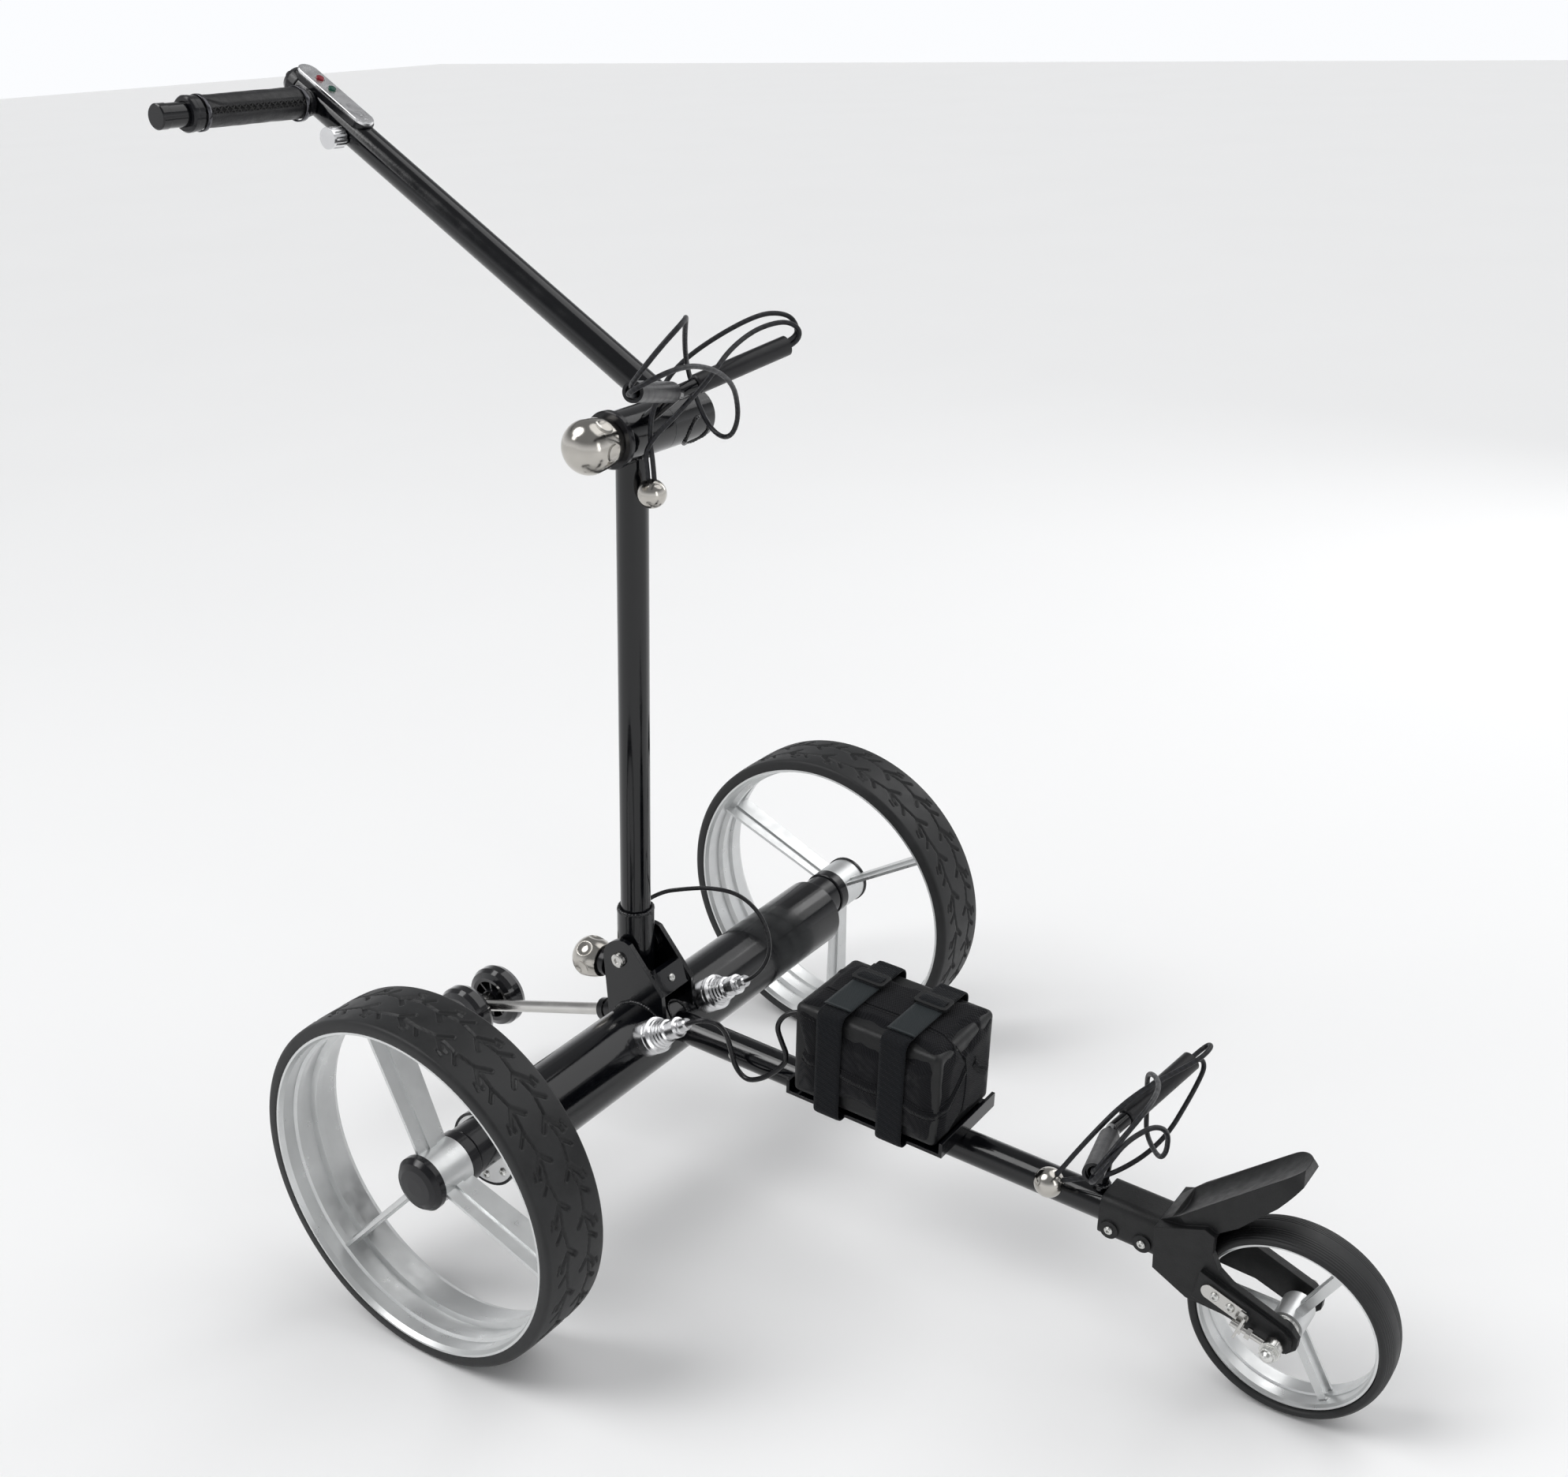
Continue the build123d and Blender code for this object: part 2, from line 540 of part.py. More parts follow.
# Two strands out of its left arm to the ball
lower_cord_top = cord_tube(
    [(495.0, 82.8, 224.1), (500.3, 101.5, 229.0), (508, 106, 237), (514, 95, 241), (511, 78, 238), (499, 60, 232),
     (484, 34, 226), (473, 8, 218), (461, -10, 201), (449, -22, 182), (440, -28, 166.5), (433.5, -30.5, 156.5)],
    CORD_R)
lower_cord_hanging = cord_tube(
    [(495.3, 84.0, 219.5), (500.7, 102.6, 224.3), (505, 108, 214), (504, 95, 203), (503, 72, 193), (500, 48, 180),
     (492, 26, 170), (481, 5, 164), (469, -13, 161), (455, -21, 159.5), (444, -26.4, 157.2),
     (434.0, -28.8, 153.6)], CORD_R)


def cord_ball(centre, holes):
    """Polished ball, drilled for the two strands that end in it."""
    with BuildPart() as ball:
        with Locations(at(*centre)):
            Sphere(BALL_R)
        for tip, before in holes:
            away = (at(*before) - at(*tip)).normalized()
            rod(at(*tip) - away * 0.3, at(*tip) + away * 30, CORD_R + 0.2, Mode.SUBTRACT)
    return ball




def pair(first, second):
    """Two strands of the same cord as one piece."""
    with BuildPart() as both:
        add(first.part)
        add(second.part)
    return both


upper_cord_strands = pair(upper_cord_rear, upper_cord_front)
lower_cord_strands = pair(lower_cord_top, lower_cord_hanging)
upper_ball = cord_ball(UPPER_BALL, [((42.1, -8.5, 686), (42.1, -8.5, 701)), ((37.9, -11.5, 686), (37.9, -11.5, 699))])
lower_ball = cord_ball(LOWER_BALL, [((433.5, -30.5, 156.5), (440, -28, 166.5)),
                                    ((434.0, -28.8, 153.6), (444, -26.4, 157.2))])

# ---------------------------------------------------------------- battery
BAG_FLOOR = Plane(origin=at(BAG_X, 0, frame_z(BAG_X)), x_dir=tuple(FRAME_DIR),
                  z_dir=(sin(radians(FRAME_FALL)), 0, cos(radians(FRAME_FALL))))
TRAY_RISE = FRAME_R + 0.05
TRAY_T = 3.0
BAG_RISE = TRAY_RISE + TRAY_T + 0.1


def upright_box(rise, length, width, height, start=0.0, mode=Mode.ADD):
    """Box on the frame tube, square to it; start is its rear end along the tube."""
    with BuildSketch(BAG_FLOOR.offset(rise)) as base:
        with Locations((start + length / 2, 0)):
            Rectangle(length, width)
    extrude(base.sketch, amount=height, mode=mode)


with BuildPart() as battery_tray:
    upright_box(TRAY_RISE, BAG_L + 7, 92, TRAY_T, -3.5)
    upright_box(TRAY_RISE, 3, 92, 14, -3.5)
    upright_box(TRAY_RISE, 3, 92, 14, BAG_L + 0.5)
    for start in (64.0, 124.0):
        upright_box(TRAY_RISE - 8, 14, 34, 8.5, start)
    rod(at(150, 0, frame_z(150)), at(380, 0, frame_z(380)), FRAME_R + 0.04, Mode.SUBTRACT)

with BuildPart() as bag_cavity:
    upright_box(BAG_RISE + 3, BAG_L - 6, BAG_W - 6, BAG_H - 6, 3)
    fillet(bag_cavity.edges(), 6)

with BuildPart() as battery_pack:
    upright_box(BAG_RISE + 3.5, BAG_L - 7, BAG_W - 7, BAG_H - 7, 3.5)
    fillet(battery_pack.edges(), 6)

with BuildPart() as battery_bag:
    upright_box(BAG_RISE, BAG_L, BAG_W, BAG_H)
    fillet(battery_bag.edges(), 9)
    add(bag_cavity.part, mode=Mode.SUBTRACT)

STRAP_STARTS = (30.0, 93.0)
STRAP_W = 25.0
STRAP_T = 1.8
with BuildPart() as bag_straps:
    for start in STRAP_STARTS:
        upright_box(TRAY_RISE - 3 - STRAP_T, STRAP_W, BAG_W + 2 * STRAP_T + 1, BAG_H + TRAY_T + 5 + 2 * STRAP_T, start)
        upright_box(TRAY_RISE - 3, STRAP_W, BAG_W + 1, BAG_H + TRAY_T + 3.6, start, Mode.SUBTRACT)
    rod(at(150, 0, frame_z(150)), at(380, 0, frame_z(380)), FRAME_R + 1, Mode.SUBTRACT)

BUCKLE_RISE = TRAY_RISE - 3 - STRAP_T + BAG_H + TRAY_T + 5 + 2 * STRAP_T + 0.1
with BuildPart() as strap_buckles:
    for start in STRAP_STARTS:
        with BuildSketch(BAG_FLOOR.offset(BUCKLE_RISE)) as frame:
            with Locations((start + STRAP_W / 2, 14)):
                RectangleRounded(32, 18, 3)
                Rectangle(26, 3.2, mode=Mode.SUBTRACT)
        extrude(frame.sketch, amount=3)

# ---------------------------------------------------------------- fork, front wheel and bag rest
SLEEVE_X = 470.0
REST_RISE = 38.5
REST_BACK = (524.0, 146.0)

# Side views of the fork's cheek and of the thicker arm that carries the axle
CHEEK = [(524, 107), (553, 90), (590, 86.5), (627, 71.8), (637, 71.9), (644.5, 79), (645.5, 88), (640, 95.5),
         (636, 97.6), (590, 117), (579, 126), (573, 140), (574, 156), (566, 160), REST_BACK]
ARM = [(566, 124), (560, 97), (592, 90), (628, 75.5), (637, 75.8), (642, 82), (642, 89), (636, 94.5), (588, 114.5)]

with BuildPart() as bag_rest:
    rise = tan(radians(REST_RISE))
    slab(side(0, 26, 0), [(524, 110), (566, 112), (574, 156), (590, 167), (619, 196), (635, 217), (632, 146 + 108 * rise),
                          REST_BACK], 52)
    top = Plane(origin=at(REST_BACK[0], 0, REST_BACK[1]), x_dir=(cos(radians(REST_RISE)), 0, sin(radians(REST_RISE))),
                z_dir=(-sin(radians(REST_RISE)), 0, cos(radians(REST_RISE))))
    with BuildSketch(top.offset(5)) as plan:
        with BuildLine():
            Polyline((-40, -19), (0, -19), (24, -26), (114, -23))
            ThreePointArc((114, -23), (137.5, 0), (114, 23))
            Polyline((114, 23), (24, 26), (0, 19), (-40, 19), (-40, -19))
        make_face()
    extrude(plan.sketch, amount=-120, mode=Mode.INTERSECT)
    trough_r = 62.0
    trough_axis = top.offset(trough_r - 4.5)
    trough_start = trough_axis.from_local_coords(Vector(14, 0, 0))
    trough_end = trough_axis.from_local_coords(Vector(160, 0, 0))
    rod(trough_start, trough_end, trough_r, Mode.SUBTRACT)

with BuildPart() as fork_body:
    with BuildSketch(Plane(origin=at(SLEEVE_X, 0, frame_z(SLEEVE_X)), x_dir=(0, 1, 0),
                           z_dir=tuple(FRAME_DIR))) as collar:
        RectangleRounded(36, 38, 8)
    extrude(collar.sketch, amount=64)
    for x in (480.0, 509.0):
        drum(x, frame_z(x) - 8.5, -17, -19.6, 8)
    slab(side(0, 31, 0), [(524, 107), (553, 90), (570, 90), (573, 140), (566, 160), REST_BACK], 62)
    for y_outer in (31.0, -ARM_INNER):
        slab(side(0, y_outer, 0), CHEEK, 31.0 - ARM_INNER)
    for y_outer in (ARM_OUTER, -ARM_INNER):
        slab(side(0, y_outer, 0), ARM, ARM_OUTER - ARM_INNER)
    add(bag_rest.part)
    drum(FRONT_X, FRONT_R, -ARM_INNER, ARM_INNER, FRONT_R + 4.5, Mode.SUBTRACT)
    rod(at(460, 0, frame_z(460)), at(521.5, 0, frame_z(521.5)), FRAME_R + 0.05, Mode.SUBTRACT)
    drum(FRONT_X, FRONT_R, -40, 40, 4.05, Mode.SUBTRACT)
    for x in (480.0, 509.0):
        drum(x, frame_z(x) - 8.5, -20, -15, 3.1, Mode.SUBTRACT)
    for x, z in ((579.5, 106.5), (592.5, 101.3)):
        drum(x, z, -37, -30, 2.1, Mode.SUBTRACT)

with BuildPart() as front_axle:
    drum(FRONT_X, FRONT_R, -50, 45, 4.0)
    with BuildSketch(side(FRONT_X, 43, FRONT_R)) as head:
        RegularPolygon(8, 6)
    extrude(head.sketch, amount=6.9)
    turned(at(FRONT_X, -47.6, FRONT_R), (0, -1, 0), [(0, 0), (0, 8.5), (1.5, 8.5), (1.5, 0)])
    with BuildSketch(side(FRONT_X, -49.05, FRONT_R)) as flats:
        RegularPolygon(7, 6)
    extrude(flats.sketch, amount=5)
    turned(at(FRONT_X, -54, FRONT_R), (0, -1, 0), [(0, 0), (0, 5.6), (2, 5), (4, 3.2), (5, 1.2), (5.1, 0)])

# Tracking adjuster: a plate screwed to the right arm, with a threaded link to the end of the axle
ADJ_RISE = -21.8
with BuildPart() as tracking_adjuster:
    adj = side(586, -ARM_OUTER - 0.05, 103.9, ADJ_RISE)
    with BuildSketch(adj) as plate:
        with Locations((2, 0)):
            SlotOverall(42, 13)
        for offset in (-7, 7):
            with Locations((offset, 0)):
                Circle(2.1, mode=Mode.SUBTRACT)
    extrude(plate.sketch, amount=1.6)
    tab = side(586, -ARM_OUTER - 0.1, 103.9, ADJ_RISE)
    slab(tab, [(15, -6), (21.5, -6), (21.5, 6), (15, 6)], 3.5)
    slab(tab, [(19.5, -14), (21.5, -14), (21.5, 4), (19.5, 4)], 12)
    link_start = at(596, -43.5, 93.5)
    link_end = at(FRONT_X, -43.5, FRONT_R)
    rod(link_start, link_end, 2.6)
    link_dir = (link_end - link_start).normalized()
    for reach in (6.0, 13.5):
        with BuildSketch(Plane(origin=link_start + link_dir * reach, z_dir=link_dir)) as nut:
            RegularPolygon(5, 6)
        extrude(nut.sketch, amount=4)
    drum(FRONT_X, FRONT_R, -39.5, -47.5, 7.5)
    drum(FRONT_X, FRONT_R, -38, -49, 4.02, Mode.SUBTRACT)

with BuildPart() as front_rim:
    turned(at(FRONT_X, 0, FRONT_R), (0, 1, 0),
           [(-16, FRONT_RIM_R), (16, FRONT_RIM_R), (16, 71.6), (13, 70.2), (2, 70.2), (1.2, 68.6), (-1.2, 68.6),
            (-2, 70.2), (-13, 70.2), (-16, 71.6)])
    turned(at(FRONT_X, 0, FRONT_R), (0, 1, 0), [(-15, 9.05), (-15, 13.5), (15, 13.5), (15, 9.05)])
    for k in range(3):
        a = radians(57 + 120 * k)
        web = Plane(origin=at(FRONT_X, 0, FRONT_R), x_dir=(cos(a), 0, sin(a)), z_dir=(-sin(a), 0, cos(a)))
        slab(web, [(12.6, -7), (12.6, 7), (69.6, 7), (69.6, -7)], 1.2, both=True)
        for y in (-6.2, 6.2):
            slab(web, [(12.6, y - 1.2), (12.6, y + 1.2), (69.6, y + 1.2), (69.6, y - 1.2)], 3.6, both=True)

with BuildPart() as front_tyre:
    with BuildSketch(Plane(origin=at(FRONT_X, 0, FRONT_R), x_dir=(0, 1, 0), z_dir=(1, 0, 0))) as section:
        with BuildLine():
            l1 = Line((-16.5, FRONT_RIM_R + 0.05), (16.5, FRONT_RIM_R + 0.05))
            l2 = ThreePointArc((16.5, FRONT_RIM_R + 0.05), (20, 77.5), (17.6, 80.9))
            l3 = ThreePointArc((17.6, 80.9), (0, FRONT_R), (-17.6, 80.9))
            l4 = ThreePointArc((-17.6, 80.9), (-20, 77.5), (-16.5, FRONT_RIM_R + 0.05))
        make_face()
    revolve(section.sketch, axis=Axis(at(FRONT_X, 0, FRONT_R), (0, 1, 0)))

with BuildPart() as front_bearings:
    for sign in (-1, 1):
        turned(at(FRONT_X, 0, FRONT_R), (0, sign, 0),
               [(6, 4.05), (6, 9), (15.5, 9), (15.5, 11.5), (18.5, 11), (19, 8), (24.1, 7), (24.1, 4.05)])

# ---------------------------------------------------------------- anti-tip wheels behind the main tube
TIP_X, TIP_Z = -236.0, 97.0
SOCKET_X, SOCKET_Z = -36.0, 154.0
TIP_DIR = (at(TIP_X, 0, TIP_Z) - at(SOCKET_X, 0, SOCKET_Z)).normalized()
with BuildPart() as anti_tip_socket:
    mouth = at(SOCKET_X, 0, SOCKET_Z)
    rod(mouth + TIP_DIR * -14, mouth + TIP_DIR * 33, 10)
    rod(mouth + TIP_DIR * 26, mouth + TIP_DIR * 33, 11.2)
    rod(mouth + TIP_DIR * -30, mouth + TIP_DIR * 40, 6.06, Mode.SUBTRACT)
    drum(TUBE_X, TUBE_Z, -20, 20, TUBE_R + 0.05, Mode.SUBTRACT)

with BuildPart() as anti_tip_rod:
    rod(mouth + TIP_DIR * 2.5, at(TIP_X, 0, TIP_Z) - TIP_DIR * 2, 6.0)
    drum(TIP_X, TIP_Z, -10.5, 10.5, 9)
    drum(TIP_X, TIP_Z, -38.5, 38.5, 4.0)
    for sign in (-1, 1):
        turned(at(TIP_X, sign * 36.6, TIP_Z), (0, sign, 0), [(0, 0), (0, 6.5), (2, 6), (3, 4), (3, 0)])
    drum(TIP_X + 14, TIP_Z + 4, -2, 2, 3)


def skate_wheel(sign):
    """Small polyurethane wheel with a ribbed core."""
    with BuildPart() as wheel:
        turned(at(TIP_X, 24 * sign, TIP_Z), (0, sign, 0),
               [(-12, 4.05), (-12, 10), (-4, 12), (-4, 18), (-11, 20), (-11.5, 24), (-9, 29.5), (-4, 32), (4, 32),
                (9, 29.5), (11.5, 24), (11, 20), (4, 18), (4, 12), (12, 10), (12, 4.05)])
        for k in range(8):
            a = radians(45 * k)
            rib = Plane(origin=at(TIP_X, 24 * sign, TIP_Z), x_dir=(cos(a), 0, sin(a)), z_dir=(-sin(a), 0, cos(a)))
            slab(rib, [(10, -9), (10, 9), (20.5, 9.5), (20.5, -9.5)], 1.1, both=True)
    return wheel


right_skate_wheel = skate_wheel(-1)
left_skate_wheel = skate_wheel(1)

# ---------------------------------------------------------------- plugs on the main tube and their cables
PLUG_ANGLE = 33.0
PLUG_DIR = Vector(cos(radians(PLUG_ANGLE)), 0, sin(radians(PLUG_ANGLE)))
PLUG_TIP = 93.0


def plug(y):
    """Round threaded plug: black seat, knurled nut, stepped barrel and cable gland."""
    with BuildPart() as body:
        turned(at(TUBE_X, y, TUBE_Z), tuple(PLUG_DIR),
               [(28, 0), (28, 16.5), (45, 16.5), (47, 15.5), (47, 16.8), (51, 16.8), (52.5, 14), (55, 14),
                (56, 12.6), (58.5, 12.6), (59.5, 11.6), (62, 11.6), (63, 10.6), (66, 10.6), (67, 8.6), (74, 8.6),
                (74.5, 9.4), (80, 9.4), (81, 7), (84, 7), (85, 6), (91, 5.6), (PLUG_TIP, 4.6), (PLUG_TIP, 0)])
        drum(TUBE_X, TUBE_Z, y - 30, y + 30, TUBE_R + 0.05, Mode.SUBTRACT)
    return body


POWER_Y, SIGNAL_Y = -49.0, 42.0
power_connector = plug(POWER_Y)
signal_connector = plug(SIGNAL_Y)
TIP_OUT = PLUG_TIP + 0.02
PX, PZ = polar(TUBE_X, TUBE_Z, TIP_OUT, PLUG_ANGLE)
RUN_X, RUN_Z = polar(TUBE_X, TUBE_Z, TIP_OUT + 14, PLUG_ANGLE)

# From beside the foot of the upright to the signal plug
signal_cable = cord_tube(
    [(-17, 18.6, 270.5), (-12, 31, 274), (9, 39, 279), (34, 46, 284), (60, 54, 282), (79, 59, 268), (91, 60, 247),
     (96, 54, 225), (RUN_X, SIGNAL_Y, RUN_Z), (PX, SIGNAL_Y, PZ)], CABLE_R)

# From the power plug down beside the frame tube and up into the back of the battery bag
battery_cable = cord_tube(
    [(PX, POWER_Y, PZ), (RUN_X, POWER_Y, RUN_Z), (102, -41, 205), (105, -31, 190), (106, -26, 170),
     (108, -24.5, 152), (121, -26, 142), (138, -27, 149), (155, -26, 162), (168, -23, 178), (160, -22, 194),
     (156, -23, 208), (162, -20, 220), (174, -15, 225), (186.85, -12, 226)], LEAD_R)

# ---------------------------------------------------------------- screws


def pan_screw(plane_at, outward, reach=4.0):
    """Pan-head screw whose head rests at a point."""
    axis_dir = Vector(*outward).normalized()
    turned(plane_at, outward, [(-reach, 0), (-reach, 1.95), (0.02, 1.95), (0.02, 3.8), (1.2, 3.6), (2.2, 2.4), (2.4, 0)])
    with BuildSketch(Plane(origin=plane_at + axis_dir * 2.5, z_dir=axis_dir)) as socket:
        RegularPolygon(1.6, 6)
    extrude(socket.sketch, amount=-1.4, mode=Mode.SUBTRACT)


with BuildPart() as chassis_screws:
    for sign, stack in ((-1, RIGHT_STACK), (1, LEFT_STACK)):
        for angle in SCREW_ANGLES:
            x, z = polar(TUBE_X, TUBE_Z, SCREW_RING, angle)
            pan_screw(at(x, sign * stack[0], z), (0, sign, 0))
    for x in (480.0, 509.0):
        pan_screw(at(x, -19.6, frame_z(x) - 8.5), (0, -1, 0))
    for x, z in ((579.5, 106.5), (592.5, 101.3)):
        pan_screw(at(x, -ARM_OUTER - 1.7, z), (0, -1, 0))
    pan_screw(at(98, -FRAME_R - 0.05, frame_z(98) + 2), (0, -1, 0))
    pan_screw(BLOCK_SCREW, BLOCK_FACE, 3.5)

# ---------------------------------------------------------------- write the pieces
pieces = {
    "main_tube": main_tube, "end_plates": end_plates, "axle_bosses": axle_bosses, "drive_motors": drive_motors,
    "chassis_screws": chassis_screws, "frame_tube": frame_tube, "hinge_bracket": hinge_bracket,
    "hinge_pin": hinge_pin, "battery_tray": battery_tray, "battery_pack": battery_pack,
    "battery_bag": battery_bag, "bag_straps": bag_straps, "strap_buckles": strap_buckles,
    "fork_body": fork_body, "tracking_adjuster": tracking_adjuster, "front_axle": front_axle,
    "anti_tip_socket": anti_tip_socket,
    "signal_connector": signal_connector, "power_connector": power_connector, "signal_cable": signal_cable,
    "battery_cable": battery_cable, "lower_bracket": lower_bracket,
    "lower_bracket_sleeves": lower_bracket_sleeves, "lower_cord_loop": lower_cord_loop,
    "lower_cord_strands": lower_cord_strands, "lower_ball": lower_ball,
    "right_drive_shaft": right_drive_shaft, "right_rear_rim": right_rear_rim,
    "right_rear_tyre": right_rear_tyre, "right_hub_trim": right_hub_trim,
    "left_drive_shaft": left_drive_shaft, "left_rear_rim": left_rear_rim, "left_rear_tyre": left_rear_tyre,
    "left_hub_trim": left_hub_trim, "front_rim": front_rim, "front_tyre": front_tyre,
    "front_bearings": front_bearings, "right_skate_wheel": right_skate_wheel,
    "left_skate_wheel": left_skate_wheel, "anti_tip_rod": anti_tip_rod, "foot_sleeve": foot_sleeve,
    "upright_tube": upright_tube, "knob_collars": knob_collars, "upper_bracket": upper_bracket,
    "upper_bracket_sleeves": upper_bracket_sleeves, "upper_cord_loop": upper_cord_loop,
    "upper_cord_strands": upper_cord_strands, "upper_ball": upper_ball,
    "lower_knob": lower_knob, "upper_knob": upper_knob,
    "handle_tube": handle_tube, "tube_cap": tube_cap, "grip_bar": grip_bar, "leather_grip": leather_grip,
    "grip_collars": grip_collars, "panel_housing": panel_housing, "control_panel": control_panel,
    "red_button": red_button, "green_button": green_button, "speed_dial": speed_dial,
}
os.makedirs("parts", exist_ok=True)
for name, piece in pieces.items():
    piece.part.label = name
    export_step(piece.part, f"parts/{name}.step")
print(len(pieces), "pieces")
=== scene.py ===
import math
import bmesh
import bpy
import numpy as np
from mathutils import Matrix, Vector, noise
from mathutils.bvhtree import BVHTree


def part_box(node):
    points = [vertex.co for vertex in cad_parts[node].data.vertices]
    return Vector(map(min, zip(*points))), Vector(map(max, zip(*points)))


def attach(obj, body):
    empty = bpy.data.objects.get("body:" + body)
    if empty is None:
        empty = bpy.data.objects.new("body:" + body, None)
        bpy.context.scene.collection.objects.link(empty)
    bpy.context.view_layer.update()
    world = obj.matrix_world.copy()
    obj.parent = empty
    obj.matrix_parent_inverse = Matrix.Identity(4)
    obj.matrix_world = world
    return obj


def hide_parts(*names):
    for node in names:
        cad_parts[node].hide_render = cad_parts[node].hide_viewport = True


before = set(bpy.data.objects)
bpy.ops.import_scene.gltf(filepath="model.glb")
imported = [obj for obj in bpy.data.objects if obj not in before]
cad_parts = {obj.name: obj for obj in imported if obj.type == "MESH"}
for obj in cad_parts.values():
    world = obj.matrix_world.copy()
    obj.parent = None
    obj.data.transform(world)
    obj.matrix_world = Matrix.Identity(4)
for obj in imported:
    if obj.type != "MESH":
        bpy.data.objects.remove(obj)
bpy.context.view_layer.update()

# ---------------------------------------------------------------- places, in millimetres from the rear axle
REAR_X = -143.13
TUBE = (-1.6, 148.7, 35.0)
HINGE = (-21.3, 225.0)
KNUCKLE = (14.2, 723.3)
FALL = math.radians(3.88)
LEAN = math.radians(4.07)
HANDLE = math.radians(147.7)
HANDLE_Y = 65.0
FRAME_START = (33.0, 156.4)
BAG_X = 183.0
MM = 0.001


def at(x, y, z):
    """Row-frame point, in metres, from millimetres forward of the rear axle."""
    return Vector(((REAR_X + x) / 1000, y / 1000, z / 1000))


def frame_z(x):
    """Height of the sloping frame tube's axis, in mm, at a distance forward of the rear axle."""
    return FRAME_START[1] - math.tan(FALL) * (x - FRAME_START[0])


ALONG_FRAME = Vector((math.cos(FALL), 0, -math.sin(FALL)))
UP_FRAME = Vector((math.sin(FALL), 0, math.cos(FALL)))
UP = Vector((math.sin(LEAN), 0, math.cos(LEAN)))
ALONG = Vector((math.cos(HANDLE), 0, math.sin(HANDLE)))
RISE = Vector((math.sin(HANDLE), 0, -math.cos(HANDLE)))
SIDE = Vector((0, 1, 0))


def on_bag(u, v, w):
    """Point on the battery: u along the frame tube, v to the left, w up from the tube's axis."""
    return at(BAG_X, 0, frame_z(BAG_X)) + (ALONG_FRAME * u + SIDE * v + UP_FRAME * w) / 1000


def on_handle(s, rise=0.0, y=HANDLE_Y):
    """Point on the handle tube: s up from the knuckle, rise out of its top face, in mm."""
    return at(KNUCKLE[0], y, KNUCKLE[1]) + (ALONG * s + RISE * rise) / 1000


def on_upright(s, y=0.0):
    """Point on the upright's axis, s mm above the hinge pin."""
    return at(HINGE[0], y, HINGE[1]) + UP * s / 1000


# ---------------------------------------------------------------- materials
class Nodes:
    """Small helper for building a procedural material."""

    def __init__(self, name):
        self.mat = bpy.data.materials.new(name)
        self.mat.use_nodes = True
        self.tree = self.mat.node_tree
        self.tree.nodes.clear()
        self.out = self.tree.nodes.new("ShaderNodeOutputMaterial")
        self.bsdf = self.tree.nodes.new("ShaderNodeBsdfPrincipled")
        self.link(self.bsdf.outputs[0], self.out.inputs[0])
        self.coord = self.tree.nodes.new("ShaderNodeTexCoord").outputs["Object"]

    def link(self, a, b):
        self.tree.links.new(a, b)

    def set(self, **values):
        for key, value in values.items():
            self.bsdf.inputs[key.replace("_", " ")].default_value = value

    def mapped(self, scale=(1, 1, 1), turn=(0, 0, 0)):
        node = self.tree.nodes.new("ShaderNodeMapping")
        node.inputs["Scale"].default_value = scale
        node.inputs["Rotation"].default_value = turn
        self.link(self.coord, node.inputs["Vector"])
        return node.outputs[0]

    def noise(self, scale, detail=3.0, rough=0.5):
        node = self.tree.nodes.new("ShaderNodeTexNoise")
        node.inputs["Scale"].default_value = scale
        node.inputs["Detail"].default_value = detail
        node.inputs["Roughness"].default_value = rough
        self.link(self.coord, node.inputs["Vector"])
        return node.outputs["Fac"]

    def wave(self, scale, vector, distortion):
        node = self.tree.nodes.new("ShaderNodeTexWave")
        node.wave_type = "BANDS"
        node.bands_direction = "DIAGONAL"
        node.wave_profile = "SIN"
        node.inputs["Scale"].default_value = scale
        node.inputs["Distortion"].default_value = distortion
        self.link(vector, node.inputs["Vector"])
        return node.outputs["Fac"]

    def cells(self, scale):
        node = self.tree.nodes.new("ShaderNodeTexVoronoi")
        node.inputs["Scale"].default_value = scale
        self.link(self.coord, node.inputs["Vector"])
        return node.outputs["Distance"]

    def ramp(self, value, low, high, at_low=0.0, at_high=1.0):
        node = self.tree.nodes.new("ShaderNodeMapRange")
        node.inputs["From Min"].default_value = low
        node.inputs["From Max"].default_value = high
        node.inputs["To Min"].default_value = at_low
        node.inputs["To Max"].default_value = at_high
        self.link(value, node.inputs["Value"])
        return node.outputs[0]

    def mix(self, value, first, second):
        node = self.tree.nodes.new("ShaderNodeMix")
        node.data_type = "RGBA"
        node.inputs["A"].default_value = (*first, 1)
        node.inputs["B"].default_value = (*second, 1)
        self.link(value, node.inputs["Factor"])
        return node.outputs["Result"]

    def maths(self, kind, a, b):
        node = self.tree.nodes.new("ShaderNodeMath")
        node.operation = kind
        for k, value in enumerate((a, b)):
            if isinstance(value, (int, float)):
                node.inputs[k].default_value = value
            else:
                self.link(value, node.inputs[k])
        return node.outputs[0]

    def bump(self, height, distance, strength=1.0, normal=None):
        node = self.tree.nodes.new("ShaderNodeBump")
        node.inputs["Distance"].default_value = distance
        node.inputs["Strength"].default_value = strength
        self.link(height, node.inputs["Height"])
        if normal is not None:
            self.link(normal, node.inputs["Normal"])
        return node.outputs[0]

    def soft_edges(self, radius):
        node = self.tree.nodes.new("ShaderNodeBevel")
        node.samples = 4
        node.inputs["Radius"].default_value = radius
        return node.outputs[0]

    def finish(self, color=None, roughness=None, normal=None):
        if color is not None:
            self.link(color, self.bsdf.inputs["Base Color"])
        if roughness is not None:
            self.link(roughness, self.bsdf.inputs["Roughness"])
        if normal is not None:
            self.link(normal, self.bsdf.inputs["Normal"])
        return self.mat


